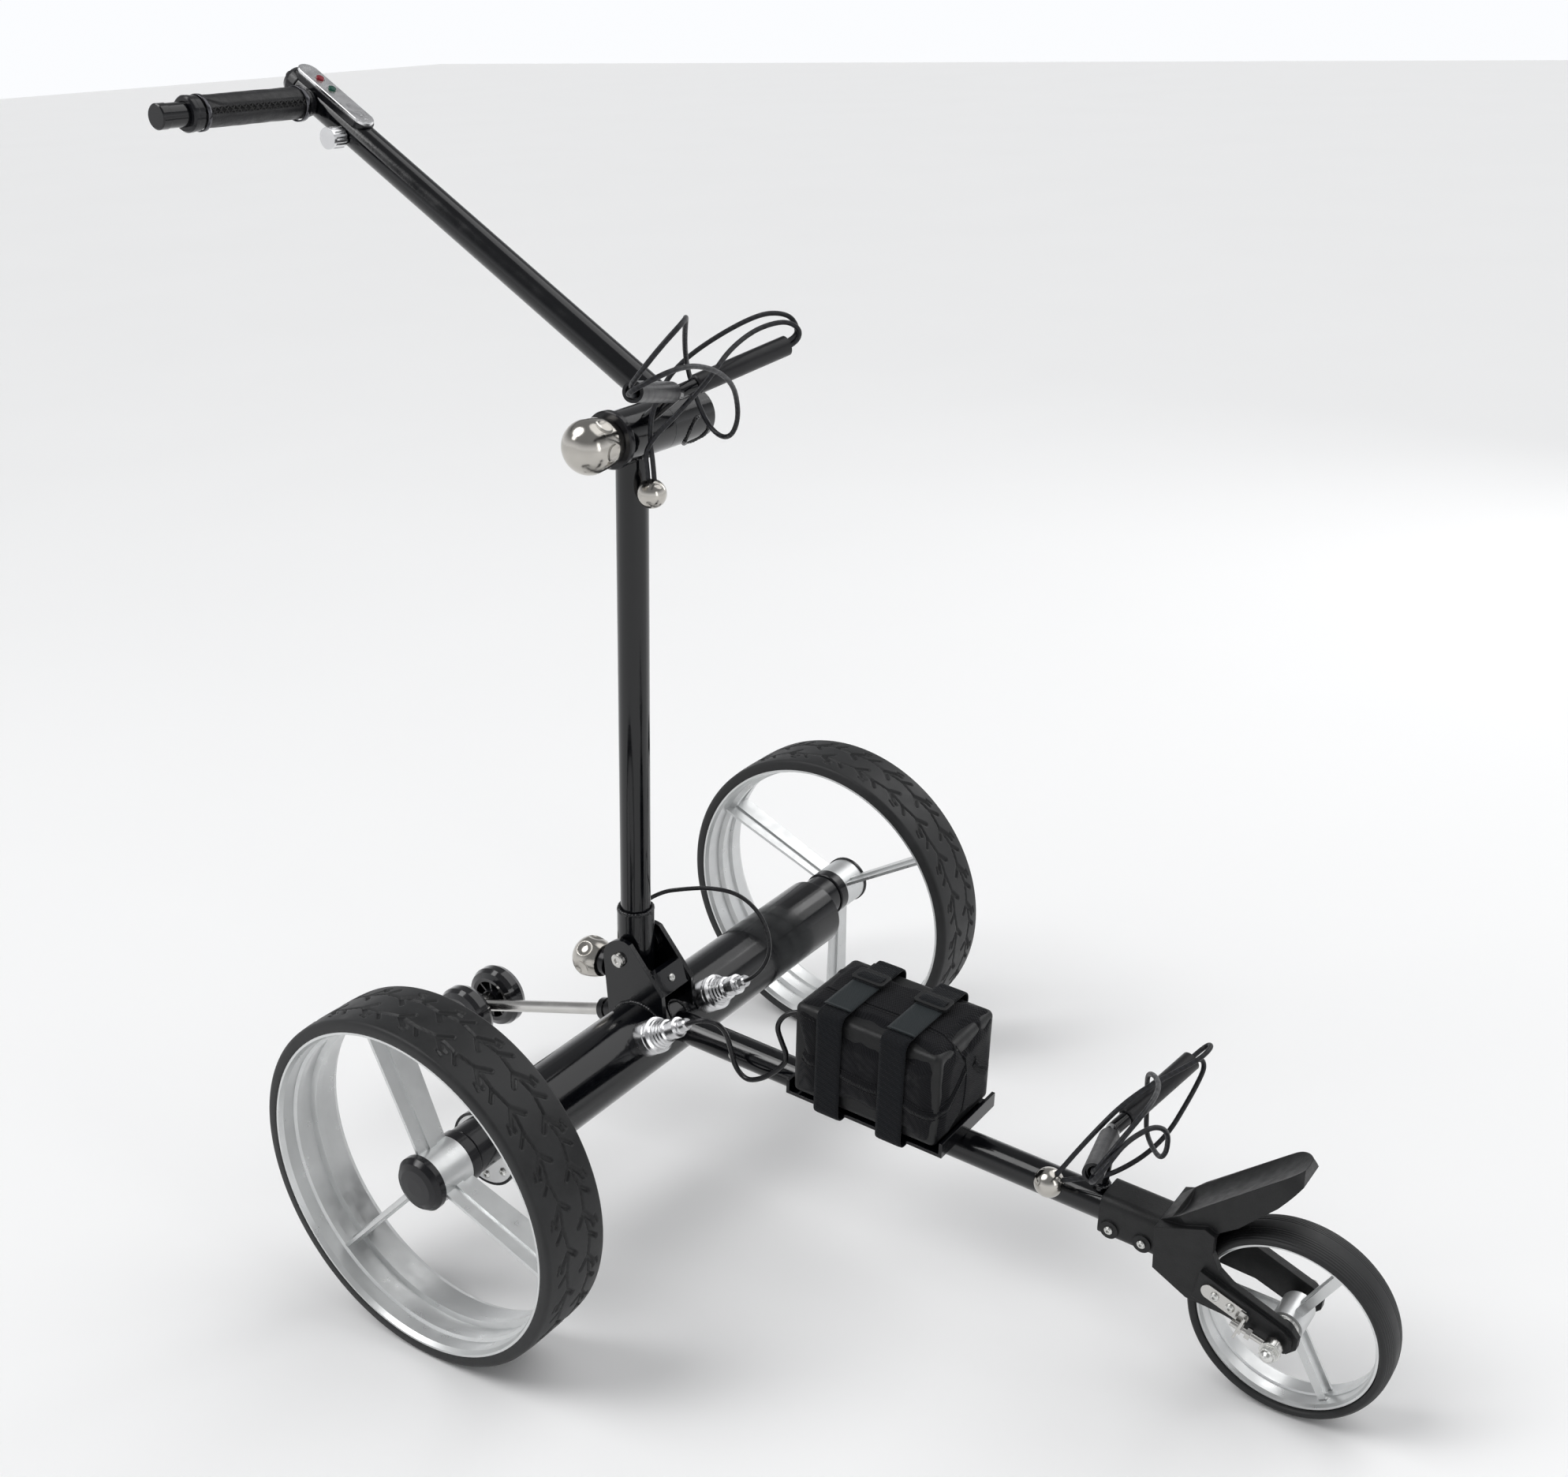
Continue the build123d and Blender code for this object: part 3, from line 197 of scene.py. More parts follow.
def gloss_paint():
    n = Nodes("gloss_black_paint")
    n.set(IOR=1.45, Coat_Weight=0.15, Coat_Roughness=0.03)
    cloud = n.noise(14.0, 3.0)
    color = n.mix(cloud, (0.0012, 0.0013, 0.0018), (0.003, 0.0034, 0.005))
    rough = n.ramp(n.noise(60.0, 4.0), 0.3, 0.75, 0.09, 0.2)
    peel = n.bump(n.noise(420.0, 1.0), 0.00006, 0.5, n.soft_edges(0.0007))
    return n.finish(color, rough, peel)


def metal(name, low, high, rough_low, rough_high, grain=180.0, depth=0.00005, edge=0.0005, **extra):
    n = Nodes(name)
    n.set(Metallic=1.0, **extra)
    color = n.mix(n.noise(30.0, 5.0, 0.6), low, high)
    rough = n.ramp(n.noise(90.0, 4.0), 0.3, 0.7, rough_low, rough_high)
    normal = n.bump(n.noise(grain * 12, 2.0), depth, 0.6, n.soft_edges(edge))
    return n.finish(color, rough, normal)


def plastic(name, low, high, rough_low, rough_high, grain=1500.0, depth=0.00008, edge=0.0006, **extra):
    n = Nodes(name)
    n.set(IOR=1.5, Specular_IOR_Level=0.36, **extra)
    color = n.mix(n.noise(40.0, 4.0), low, high)
    rough = n.ramp(n.noise(120.0, 3.0), 0.3, 0.7, rough_low, rough_high)
    normal = n.bump(n.cells(grain), depth, 0.5, n.soft_edges(edge))
    return n.finish(color, rough, normal)


def woven(name, low, high, pitch, depth, turn, rough=0.8, sheen=0.06):
    """Close plain weave: two crossed sets of ribs."""
    n = Nodes(name)
    n.set(Sheen_Weight=sheen, Sheen_Roughness=0.4, IOR=1.45, Specular_IOR_Level=0.2)
    scale = 0.31416 / pitch
    one = n.wave(scale, n.mapped((1, 1, 1), turn), 0.3)
    two = n.wave(scale * 0.8, n.mapped((1, -1, 1), turn), 0.3)
    ribs = n.maths("ADD", one, two)
    worn = n.noise(45.0, 5.0, 0.6)
    shade = n.maths("MULTIPLY", n.ramp(ribs, 0.4, 1.8), n.ramp(worn, 0.3, 0.75, 0.35, 1.0))
    color = n.mix(shade, low, high)
    rough_map = n.ramp(worn, 0.3, 0.7, rough - 0.12, rough + 0.08)
    normal = n.bump(ribs, depth, 0.7, n.bump(n.noise(700.0, 3.0), depth * 0.6, 0.4))
    return n.finish(color, rough_map, normal)


def braid():
    n = Nodes("braided_elastic")
    n.set(IOR=1.5, Specular_IOR_Level=0.4, Sheen_Weight=0.03, Sheen_Roughness=0.4)
    weave = n.wave(95.0, n.mapped((1, 1, 1), (0.4, 0.3, 0.8)), 1.5)
    color = n.mix(weave, (0.002, 0.0022, 0.0034), (0.007, 0.0078, 0.012))
    rough = n.ramp(n.noise(200.0), 0.3, 0.7, 0.35, 0.6)
    return n.finish(color, rough, n.bump(weave, 0.0002, 0.7))


def grain_leather():
    n = Nodes("black_leather")
    n.set(IOR=1.5, Specular_IOR_Level=0.4)
    cells = n.cells(650.0)
    color = n.mix(n.noise(70.0, 4.0), (0.003, 0.003, 0.004), (0.009, 0.009, 0.0105))
    rough = n.ramp(n.noise(160.0, 4.0), 0.3, 0.7, 0.3, 0.5)
    normal = n.bump(cells, 0.00022, 0.7, n.bump(n.noise(110.0, 4.0), 0.0005, 0.4))
    return n.finish(color, rough, normal)


def tyre_rubber():
    n = Nodes("tyre_rubber")
    n.set(IOR=1.5, Specular_IOR_Level=0.4)
    dust = n.noise(38.0, 6.0, 0.65)
    color = n.mix(n.ramp(dust, 0.35, 0.75), (0.007, 0.0073, 0.0078), (0.02, 0.0205, 0.0215))
    rough = n.ramp(dust, 0.3, 0.7, 0.42, 0.62)
    normal = n.bump(n.noise(900.0, 3.0), 0.00012, 0.5, n.bump(n.noise(60.0, 3.0), 0.0006, 0.25))
    return n.finish(color, rough, normal)


def cast_silver():
    n = Nodes("cast_silver")
    n.set(Metallic=0.75)
    color = n.mix(n.noise(26.0, 5.0, 0.6), (0.6, 0.61, 0.61), (0.74, 0.75, 0.75))
    rough = n.ramp(n.noise(70.0, 4.0), 0.3, 0.7, 0.26, 0.42)
    pits = n.bump(n.noise(1500.0, 3.0), 0.00006, 0.5)
    return n.finish(color, rough, pits)


PAINT = gloss_paint()
SILVER = cast_silver()
STEEL = metal("stainless_steel", (0.52, 0.51, 0.49), (0.66, 0.65, 0.63), 0.14, 0.26)
CHROME = metal("satin_nickel", (0.42, 0.4, 0.37), (0.56, 0.54, 0.5), 0.08, 0.17, edge=0.001)
DARK_STEEL = metal("dark_steel", (0.05, 0.05, 0.055), (0.12, 0.12, 0.13), 0.1, 0.2)
ZINC = metal("zinc_plate", (0.6, 0.6, 0.58), (0.74, 0.74, 0.72), 0.2, 0.34)
ANODISED = metal("anodised_silver", (0.66, 0.66, 0.67), (0.8, 0.8, 0.81), 0.16, 0.3, edge=0.0006)
BRIGHT = metal("bright_white_metal", (0.8, 0.8, 0.8), (0.9, 0.9, 0.9), 0.3, 0.45)
MOULDED = plastic("moulded_black", (0.004, 0.0042, 0.0046), (0.009, 0.0094, 0.01),
                  0.38, 0.52, 900.0, 0.00018, 0.0012)
GLOSSY = plastic("glossy_black", (0.006, 0.006, 0.0075), (0.012, 0.012, 0.014),
                 0.12, 0.24, 1500.0, 0.00002, 0.0012)
SATIN = plastic("satin_black_rubber", (0.008, 0.008, 0.009), (0.018, 0.018, 0.02),
                0.28, 0.42, 1200.0, 0.00006)
URETHANE = plastic("black_urethane", (0.006, 0.006, 0.007), (0.011, 0.011, 0.013),
                   0.08, 0.16, 1500.0, 0.00002, Coat_Weight=0.5)
SHEATH = plastic("cable_sheath", (0.007, 0.007, 0.008), (0.014, 0.014, 0.016), 0.2, 0.32, 1500.0, 0.00002)
RED = plastic("red_key", (0.16, 0.004, 0.012), (0.24, 0.008, 0.018), 0.2, 0.32)
GREEN = plastic("green_key", (0.003, 0.05, 0.035), (0.006, 0.075, 0.05), 0.2, 0.32)
TYRE = tyre_rubber()
NYLON = woven("ribbed_nylon", (0.0025, 0.0026, 0.0034), (0.013, 0.0135, 0.0165),
              0.0011, 0.0003, (0.3, 0.2, 0.5))
WEB = woven("webbing", (0.002, 0.0024, 0.0034), (0.008, 0.0105, 0.014),
            0.0009, 0.0002, (0.0, 0.5, 0.2), 0.66, 0.05)
TAB = woven("loop_tab", (0.010, 0.014, 0.016), (0.026, 0.033, 0.036),
            0.0006, 0.00012, (0.1, 0.2, 0.3), 0.7, 0.15)
CORD = braid()
LEATHER = grain_leather()
THREAD = plastic("waxed_thread", (0.004, 0.004, 0.004), (0.012, 0.012, 0.012), 0.4, 0.6)
MARK = plastic("grey_marking", (0.2, 0.2, 0.21), (0.28, 0.28, 0.29), 0.4, 0.55)

FINISHES = {
    PAINT: ("main_tube", "frame_tube", "hinge_bracket", "battery_tray", "anti_tip_socket", "foot_sleeve",
            "upright_tube", "upper_bracket", "lower_bracket", "handle_tube", "grip_bar"),
    SILVER: ("right_rear_rim", "left_rear_rim", "front_rim"),
    STEEL: ("hinge_pin", "right_drive_shaft", "left_drive_shaft", "anti_tip_rod", "tracking_adjuster",
            "drive_motors"),
    ZINC: ("front_axle", "chassis_screws", "front_bearings"),
    CHROME: ("lower_knob", "upper_knob", "lower_ball", "upper_ball"),
    BRIGHT: ("end_plates",),
    ANODISED: ("control_panel", "speed_dial", "signal_connector", "power_connector"),
    MOULDED: ("fork_body", "battery_pack", "strap_buckles"),
    GLOSSY: ("right_hub_trim", "left_hub_trim", "tube_cap", "axle_bosses", "knob_collars", "panel_housing",
             "grip_collars"),
    URETHANE: ("right_skate_wheel", "left_skate_wheel"),
    SATIN: ("upper_bracket_sleeves", "lower_bracket_sleeves"),
    RED: ("red_button",),
    GREEN: ("green_button",),
    NYLON: ("battery_bag",),
    WEB: ("bag_straps",),
    LEATHER: ("leather_grip",),
    TYRE: ("right_rear_tyre", "left_rear_tyre", "front_tyre"),
    CORD: ("upper_cord_loop", "upper_cord_strands", "lower_cord_loop", "lower_cord_strands"),
    SHEATH: ("signal_cable", "battery_cable"),
}
for material, names in FINISHES.items():
    for name in names:
        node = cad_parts[name]
        node.data.materials.clear()
        node.data.materials.append(material)


# ---------------------------------------------------------------- mesh helpers
def place(obj, body, material):
    """Link a piece, give it its material and make it ride on a body."""
    if obj.name not in bpy.context.scene.collection.objects:
        bpy.context.scene.collection.objects.link(obj)
    obj.data.materials.append(material)
    if obj.type == "MESH":
        obj.data.polygons.foreach_set("use_smooth", [True] * len(obj.data.polygons))
    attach(obj, body)
    return obj


def mesh_object(name, points, faces):
    mesh = bpy.data.meshes.new(name)
    mesh.from_pydata([tuple(p) for p in points], [], faces)
    mesh.update()
    return bpy.data.objects.new(name, mesh)


def grid_faces(rows, columns, wrap_rows, wrap_columns):
    """Quads over a grid of points, closed on itself where a direction wraps."""
    faces = []
    for i in range(rows if wrap_rows else rows - 1):
        a, b = i * columns, (i + 1) % rows * columns
        for j in range(columns if wrap_columns else columns - 1):
            k = (j + 1) % columns
            faces.append((a + j, a + k, b + k, b + j))
    return faces


def tidy_normals(obj):
    bm = bmesh.new()
    bm.from_mesh(obj.data)
    bmesh.ops.recalc_face_normals(bm, faces=bm.faces)
    bm.to_mesh(obj.data)
    bm.free()


def swept(name, path, ring, closed=False):
    """Tube along points; ring(k) gives the section's (across, out) offsets in metres, capped at open ends."""
    count = len(path)
    tangents = []
    for k in range(count):
        ahead = path[(k + 1) % count] if closed else path[min(k + 1, count - 1)]
        behind = path[(k - 1) % count] if closed else path[max(k - 1, 0)]
        tangents.append((ahead - behind).normalized())
    normal = tangents[0].orthogonal().normalized()
    points, size = [], 0
    for k in range(count):
        normal = (normal - tangents[k] * normal.dot(tangents[k])).normalized()
        across = tangents[k].cross(normal)
        section = ring(k)
        size = len(section)
        points += [path[k] + normal * a + across * b for a, b in section]
    faces = grid_faces(count, size, closed, True)
    if not closed:
        faces += [tuple(range(size))[::-1], tuple(range((count - 1) * size, count * size))]
    obj = mesh_object(name, points, faces)
    tidy_normals(obj)
    return obj


def circle(radius, sides):
    return [(radius * math.cos(2 * math.pi * k / sides), radius * math.sin(2 * math.pi * k / sides))
            for k in range(sides)]


def resample(path, step, closed=False):
    """Evenly spaced points along a line, about one step apart."""
    points = list(path) + ([path[0]] if closed else [])
    lengths = [0.0]
    for a, b in zip(points, points[1:]):
        lengths.append(lengths[-1] + (b - a).length)
    count = max(4, int(lengths[-1] / step))
    out, seg = [], 0
    for k in range(count if closed else count + 1):
        s = lengths[-1] * k / count
        while seg < len(points) - 2 and lengths[seg + 1] < s:
            seg += 1
        t = (s - lengths[seg]) / max(lengths[seg + 1] - lengths[seg], 1e-12)
        out.append(points[seg].lerp(points[seg + 1], min(t, 1.0)))
    return out


def revolve(name, centre, profile, steps, shape=None):
    """Ring about the Y axis; profile is (y, r) in mm from the centre and shape(k, y, r) may change r."""
    points = []
    for k in range(steps):
        a = 2 * math.pi * k / steps
        for y, r in profile:
            radius = (shape(k, y, r) if shape else r) / 1000
            points.append(centre + Vector((radius * math.cos(a), y / 1000, radius * math.sin(a))))
    obj = mesh_object(name, points, grid_faces(steps, len(profile), True, True))
    tidy_normals(obj)
    return obj


# ---------------------------------------------------------------- camera, light and floor
EYE = Vector((0.84769, -1.17298, 1.0723))
AZIMUTH = math.radians(35.35)
ELEVATION = math.radians(22.46)
ROLL = math.radians(-1.98)


def camera():
    back = Vector((math.sin(AZIMUTH) * math.cos(ELEVATION), -math.cos(AZIMUTH) * math.cos(ELEVATION),
                   math.sin(ELEVATION)))
    right = Vector((0, 0, 1)).cross(back).normalized()
    up = back.cross(right)
    turn = Matrix((right, up, back)).transposed() @ Matrix.Rotation(ROLL, 3, "Z")
    data = bpy.data.cameras.new("camera")
    data.lens = 42.41
    data.sensor_width = 36.0
    data.sensor_fit = "HORIZONTAL"
    data.clip_start = 0.01
    obj = bpy.data.objects.new("camera", data)
    obj.matrix_world = Matrix.Translation(EYE) @ turn.to_4x4()
    bpy.context.scene.collection.objects.link(obj)
    bpy.context.scene.camera = obj


def lamp(name, place_at, target, width, height, power):
    """Soft rectangular lamp, facing its target."""
    data = bpy.data.lights.new(name, "AREA")
    data.shape = "RECTANGLE"
    data.size = width
    data.size_y = height
    data.energy = power
    obj = bpy.data.objects.new(name, data)
    obj.location = place_at
    obj.rotation_euler = (Vector(target) - Vector(place_at)).to_track_quat("-Z", "Y").to_euler()
    bpy.context.scene.collection.objects.link(obj)


def sun(name, direction, strength, softness):
    """Distant light, as wide as softness in degrees."""
    data = bpy.data.lights.new(name, "SUN")
    data.energy = strength
    data.angle = math.radians(softness)
    obj = bpy.data.objects.new(name, data)
    obj.rotation_euler = Vector(direction).to_track_quat("Z", "Y").to_euler()
    bpy.context.scene.collection.objects.link(obj)


def studio():
    """White floor under a sky that is bright at the horizon and dimmer above, so gloss keeps contrast."""
    floor_nodes = Nodes("pale_floor")
    floor_nodes.set(Specular_IOR_Level=0.2)
    tone = floor_nodes.mix(floor_nodes.noise(1.2, 2.0), (0.93, 0.93, 0.93), (0.95, 0.95, 0.95))
    floor_nodes.finish(tone, floor_nodes.ramp(floor_nodes.noise(3.0), 0.3, 0.7, 0.75, 0.9))
    bpy.ops.mesh.primitive_plane_add(size=40, location=(0, 0, -0.0002))
    floor = bpy.context.object
    floor.name = "floor"
    floor.data.materials.append(floor_nodes.mat)
    world = bpy.data.worlds.new("studio")
    world.use_nodes = True
    tree = world.node_tree
    coord = tree.nodes.new("ShaderNodeTexCoord")
    split = tree.nodes.new("ShaderNodeSeparateXYZ")
    fall = tree.nodes.new("ShaderNodeMapRange")
    tree.links.new(coord.outputs["Generated"], split.inputs[0])
    tree.links.new(split.outputs["Z"], fall.inputs["Value"])
    for socket, value in (("From Min", 0.04), ("From Max", 0.4), ("To Min", 1.0), ("To Max", 0.3)):
        fall.inputs[socket].default_value = value
    tree.links.new(fall.outputs[0], tree.nodes["Background"].inputs[1])
    tree.nodes["Background"].inputs[0].default_value = (0.97, 0.98, 1.0, 1)
    bpy.context.scene.world = world
    sun("key_sun", (-1.4, -1.2, 2.6), 1.15, 38)
    sun("fill_sun", (1.0, 1.4, 2.4), 0.95, 60)
    lamp("key", (-1.6, -1.8, 2.6), (0, 0, 0.2), 0.7, 1.8, 12.0)
    lamp("rim", (0.4, 2.6, 1.5), (0, 0, 0.3), 0.8, 1.6, 8.0)
    lamp("front", (2.4, -0.6, 1.0), (0.1, 0, 0.2), 0.5, 1.4, 5.0)


camera()
studio()
bpy.context.scene.view_settings.view_transform = "Standard"

# ---------------------------------------------------------------- cords and cables
ELASTIC_D = 0.0042
ROUTES = {
    "upper_loop_cord": [
        (98.9, -92.1, 785.5), (105.5, -110.5, 789.7), (124, -121, 803), (146, -119, 826), (153, -98, 842),
        (129, -66, 838), (97, -28, 814), (64, 14, 788), (49, 38, 764), (48, 48, 743), (56, 50, 724),
        (72, 46, 716), (88, 40, 720), (100, 34, 737), (108, 22, 758), (117, 4, 773), (126, -22, 787),
        (134, -50, 797), (140, -78, 804), (142, -104, 805), (137, -121, 801), (123, -128, 793),
        (108, -116, 785.5), (99.3, -93.1, 780.9)],
    "upper_rear_cord": [
        (98.9, 92.1, 785.5), (105.5, 110.5, 789.7), (102, 121, 797), (94, 121, 807), (85, 106, 811),
        (79, 86, 809), (68, 60, 800), (54, 38, 787), (48, 20, 776), (48, 4, 766), (52, -11, 757),
        (47, -14, 743), (43, -12, 721), (42.1, -8.5, 701), (42.1, -8.5, 686)],
    "upper_front_cord": [
        (99.3, 93.1, 780.9), (105.9, 111.5, 785.1), (108, 117, 796), (100, 110, 804), (93, 93, 804),
        (88, 72, 800), (89, 40, 791), (92, 14, 778), (82, 0, 761), (68, -10, 744), (50, -15, 727),
        (38.5, -14, 712), (37.9, -11.5, 699), (37.9, -11.5, 686)],
    "lower_loop_cord": [
        (495.0, -82.8, 224.1), (500.3, -101.5, 229.0), (509, -104, 243), (518, -86, 260), (524, -60, 271),
        (519, -28, 266), (509, 0, 258), (493, 26, 246), (478, 50, 228), (473, 62, 206), (478, 52, 188),
        (485, 36, 182), (500, 15, 184), (515, -4, 191), (525, -16, 209), (531, -30, 238), (527, -48, 252),
        (520, -68, 252), (518, -87, 253), (517, -103, 250), (512, -112, 241), (506, -111, 231),
        (500.7, -102.6, 224.3), (495.3, -84.0, 219.5)],
    "lower_top_cord": [
        (495.0, 82.8, 224.1), (500.3, 101.5, 229.0), (508, 106, 237), (514, 95, 241), (511, 78, 238),
        (499, 60, 232), (484, 34, 226), (473, 8, 218), (461, -10, 201), (449, -22, 182), (440, -28, 166.5),
        (433.5, -30.5, 156.5)],
    "lower_hanging_cord": [
        (495.3, 84.0, 219.5), (500.7, 102.6, 224.3), (505, 108, 214), (504, 95, 203), (503, 72, 193),
        (500, 48, 180), (492, 26, 170), (481, 5, 164), (469, -13, 161), (455, -21, 159.5),
        (444, -26.4, 157.2), (434.0, -28.8, 153.6)],
    "signal_lead": [
        (-17, 18.6, 270.5), (-12, 31, 274), (9, 39, 279), (34, 46, 284), (60, 54, 282), (79, 59, 268),
        (91, 60, 247), (96, 54, 225), (88.14, 42.0, 206.99), (76.4, 42.0, 199.36)],
    "battery_lead": [
        (76.4, -49.0, 199.36), (88.14, -49.0, 206.99), (102, -41, 205), (105, -31, 190), (106, -26, 170),
        (108, -24.5, 152), (121, -26, 142), (138, -27, 149), (155, -26, 162), (168, -23, 178),
        (160, -22, 194), (156, -23, 208), (162, -20, 220), (174, -15, 225), (186.85, -12, 226)],
}


def cord(name, body, node, diameter, material):
    """Smooth cord along its route, standing for its CAD tube."""
    data = bpy.data.curves.new(name, "CURVE")
    data.dimensions = "3D"
    spline = data.splines.new("NURBS")
    places = [at(*p) for p in ROUTES[name]]
    spline.points.add(len(places) - 1)
    for point, where in zip(spline.points, places):
        point.co = (*where, 1)
    spline.order_u = 3
    spline.use_endpoint_u = True
    spline.resolution_u = 8
    data.bevel_depth = diameter / 2
    data.bevel_resolution = 5
    data.use_fill_caps = True
    obj = bpy.data.objects.new(name, data)
    place(obj, body, material)
    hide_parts(node)
    return obj


for cord_name, cord_body, cord_node, cord_length, end, lie_as, beads in (
        ("upper_loop_cord", "upright", "upper_cord_loop", 0.634, "object", "loose", []),
        ("upper_rear_cord", "upright", "upper_cord_strands", 0.271, "fitting", "hanging", ["upper_ball"]),
        ("upper_front_cord", "upright", "upper_cord_strands", 0.262, "object", "hanging", []),
        ("lower_loop_cord", "chassis", "lower_cord_loop", 0.521, "object", "loose", []),
        ("lower_top_cord", "chassis", "lower_cord_strands", 0.225, "fitting", "hanging", ["lower_ball"]),
        ("lower_hanging_cord", "chassis", "lower_cord_strands", 0.209, "object", "hanging", [])):
    cord(cord_name, cord_body, cord_node, ELASTIC_D, CORD)
cord("signal_lead", "chassis", "signal_cable", 0.004, SHEATH)
cord("battery_lead", "chassis", "battery_cable", 0.0048, SHEATH)


# ---------------------------------------------------------------- rear tyres
TREAD_PITCHES = 24
TREAD_STEPS = 48


def near_segment(s, y, a, b):
    """Distance of each point (s, y) from the line between a and b."""
    px, py = s - a[0], y - a[1]
    dx, dy = b[0] - a[0], b[1] - a[1]
    t = np.clip((px * dx + py * dy) / (dx * dx + dy * dy), 0, 1)
    return np.hypot(px - t * dx, py - t * dy)


def tread_depth(s, y, pitch):
    """Depth of the tread grooves, in mm, over arc length s and width y."""
    depth = np.zeros_like(s)
    for sign, shift in ((-1, 0.0), (1, 0.5)):
        local = (s - shift * pitch) % pitch
        across = y * sign
        lines = [((0, 11.0), (0.5 * pitch, 14.0), 1.9), ((0.5 * pitch, 14.0), (pitch, 11.0), 1.9),
                 ((0, 11.0), (-9.0, 3.2), 4.0), ((0, 11.0), (-11.5, 19.0), 4.0),
                 ((-11.5, 19.0), (-16.5, 19.6), 3.0), ((0.5 * pitch, 14.0), (0.5 * pitch - 8, 22.0), 3.0),
                 ((0.62 * pitch, 24.5), (0.78 * pitch, 22.5), 1.4)]
        for a, b, width in lines:
            for wrap in (-pitch, 0.0, pitch):
                gap = near_segment(local + wrap, across, a, b)
                depth = np.maximum(depth, np.clip((width * 0.5 + 0.45 - gap) / 0.9, 0, 1) * 2.2)
    return depth


def rear_tyre(side):
    """Broad flat tyre with two zigzag grooves, each with forked branches."""
    node = side + "_rear_tyre"
    low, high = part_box(node)
    centre = (low + high) / 2
    outer = (high.z - low.z) * 500
    half = (high.y - low.y) * 500
    crown = np.linspace(-half + 3.2, half - 3.2, 68)
    steps = TREAD_PITCHES * TREAD_STEPS
    pitch = 2 * math.pi * outer / TREAD_PITCHES
    profile = [(-half + 0.4, 148.65), (-half, 149.4), (-half, 152.0), (-half, 154.6), (-half + 0.3, 156.8),
               (-half + 1.2, 158.2), (-half + 2.2, 158.9)]
    shoulder = len(profile)
    profile += [(y, outer - 0.9 * (max(0.0, abs(y) - 12.0) / (half - 15.0)) ** 2.4) for y in crown]
    profile += [(-y, r) for y, r in reversed(profile[:shoulder])]
    first = shoulder
    last = shoulder + len(crown)
    columns = np.array(profile)
    s = np.arange(steps)[:, None] * (2 * math.pi * outer / steps) * np.ones((1, len(crown)))
    y = np.ones((steps, 1)) * crown[None, :]
    cut = tread_depth(s, y, pitch)
    radius = np.ones((steps, 1)) * columns[:, 1][None, :]
    radius[:, first:last] -= cut
    wobble = 0.35 * np.sin(np.arange(steps) * 2 * math.pi * 144 / steps)
    radius[:, 1] += wobble
    radius[:, -2] += wobble
    angle = np.arange(steps) * 2 * math.pi / steps
    points = np.empty((steps, len(profile), 3))
    points[:, :, 0] = centre.x + radius / 1000 * np.cos(angle)[:, None]
    points[:, :, 1] = centre.y + columns[:, 0][None, :] / 1000
    points[:, :, 2] = centre.z + radius / 1000 * np.sin(angle)[:, None]
    faces = grid_faces(steps, len(profile), True, True)
    obj = mesh_object(side + "_tread_tyre", points.reshape(-1, 3), faces)
    tidy_normals(obj)
    place(obj, side + "_wheel", TYRE)
    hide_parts(node)


for side in ("right", "left"):
    rear_tyre(side)


def front_tyre():
    """Rounded tyre with fine ribs round its tread."""
    low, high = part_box("front_tyre")
    centre = (low + high) / 2
    profile = []
    for k in range(61):
        t = math.radians(-118 + 236 * k / 60)
        r = 77.6 + (5.7 if abs(t) < math.pi / 2 else 7.0) * math.cos(t)
        y = math.copysign(20.0 * abs(math.sin(t)) ** 0.9, t)
        profile.append((y, max(r, 73.5)))
    fine = []
    for (y0, r0), (y1, r1) in zip(profile, profile[1:]):
        for j in range(3):
            t = j / 3
            fine.append((y0 + (y1 - y0) * t, r0 + (r1 - r0) * t))
    fine.append(profile[-1])

    def ribbed(k, y, r):
        line = 0.16 * math.cos(2 * math.pi * y / 2.3) if 5.0 < abs(y) < 18.5 and r > 78 else 0.0
        return r - 0.16 + line if r > 78 else r

    obj = revolve("ribbed_front_tyre", centre, fine, 288, ribbed)
    place(obj, "front_wheel", TYRE)
    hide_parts("front_tyre")


front_tyre()


# ---------------------------------------------------------------- weld beads
RIPPLE = 4


def weld(name, body, path, radius, closed=True):
    """Overlapping ripples of weld metal along a joint."""
    line = resample(path, 0.0007, closed)

    def ring(k):
        swell = 0.82 + 0.3 * ((k % RIPPLE) / RIPPLE) + 0.12 * math.sin(k * 0.37)
        return circle(radius * swell, 10)

    obj = swept(name, line, ring, closed)
    place(obj, body, PAINT)


def ring_path(centre, axis, radius, steps=64):
    one = axis.orthogonal().normalized()
    two = axis.cross(one)
    return [centre + (one * math.cos(a) + two * math.sin(a)) * radius
            for a in (2 * math.pi * k / steps for k in range(steps))]


def saddle_path(start, axis, radius, hub, hub_radius, steps=96):
    """Where a bar of a radius, running from start along axis, meets a tube that lies along Y through hub."""
    one = axis.orthogonal().normalized()
    two = axis.cross(one)
    path = []
    for k in range(steps):
        a = 2 * math.pi * k / steps
        p = start + (one * math.cos(a) + two * math.sin(a)) * radius
        dx, dz = p.x - hub.x, p.z - hub.z
        b = dx * axis.x + dz * axis.z
        c = dx * dx + dz * dz - hub_radius * hub_radius
        q = axis.x * axis.x + axis.z * axis.z
        root = b * b - q * c
        t = (-b + math.sqrt(max(root, 0.0))) / q
        path.append(p + axis * t)
    return path


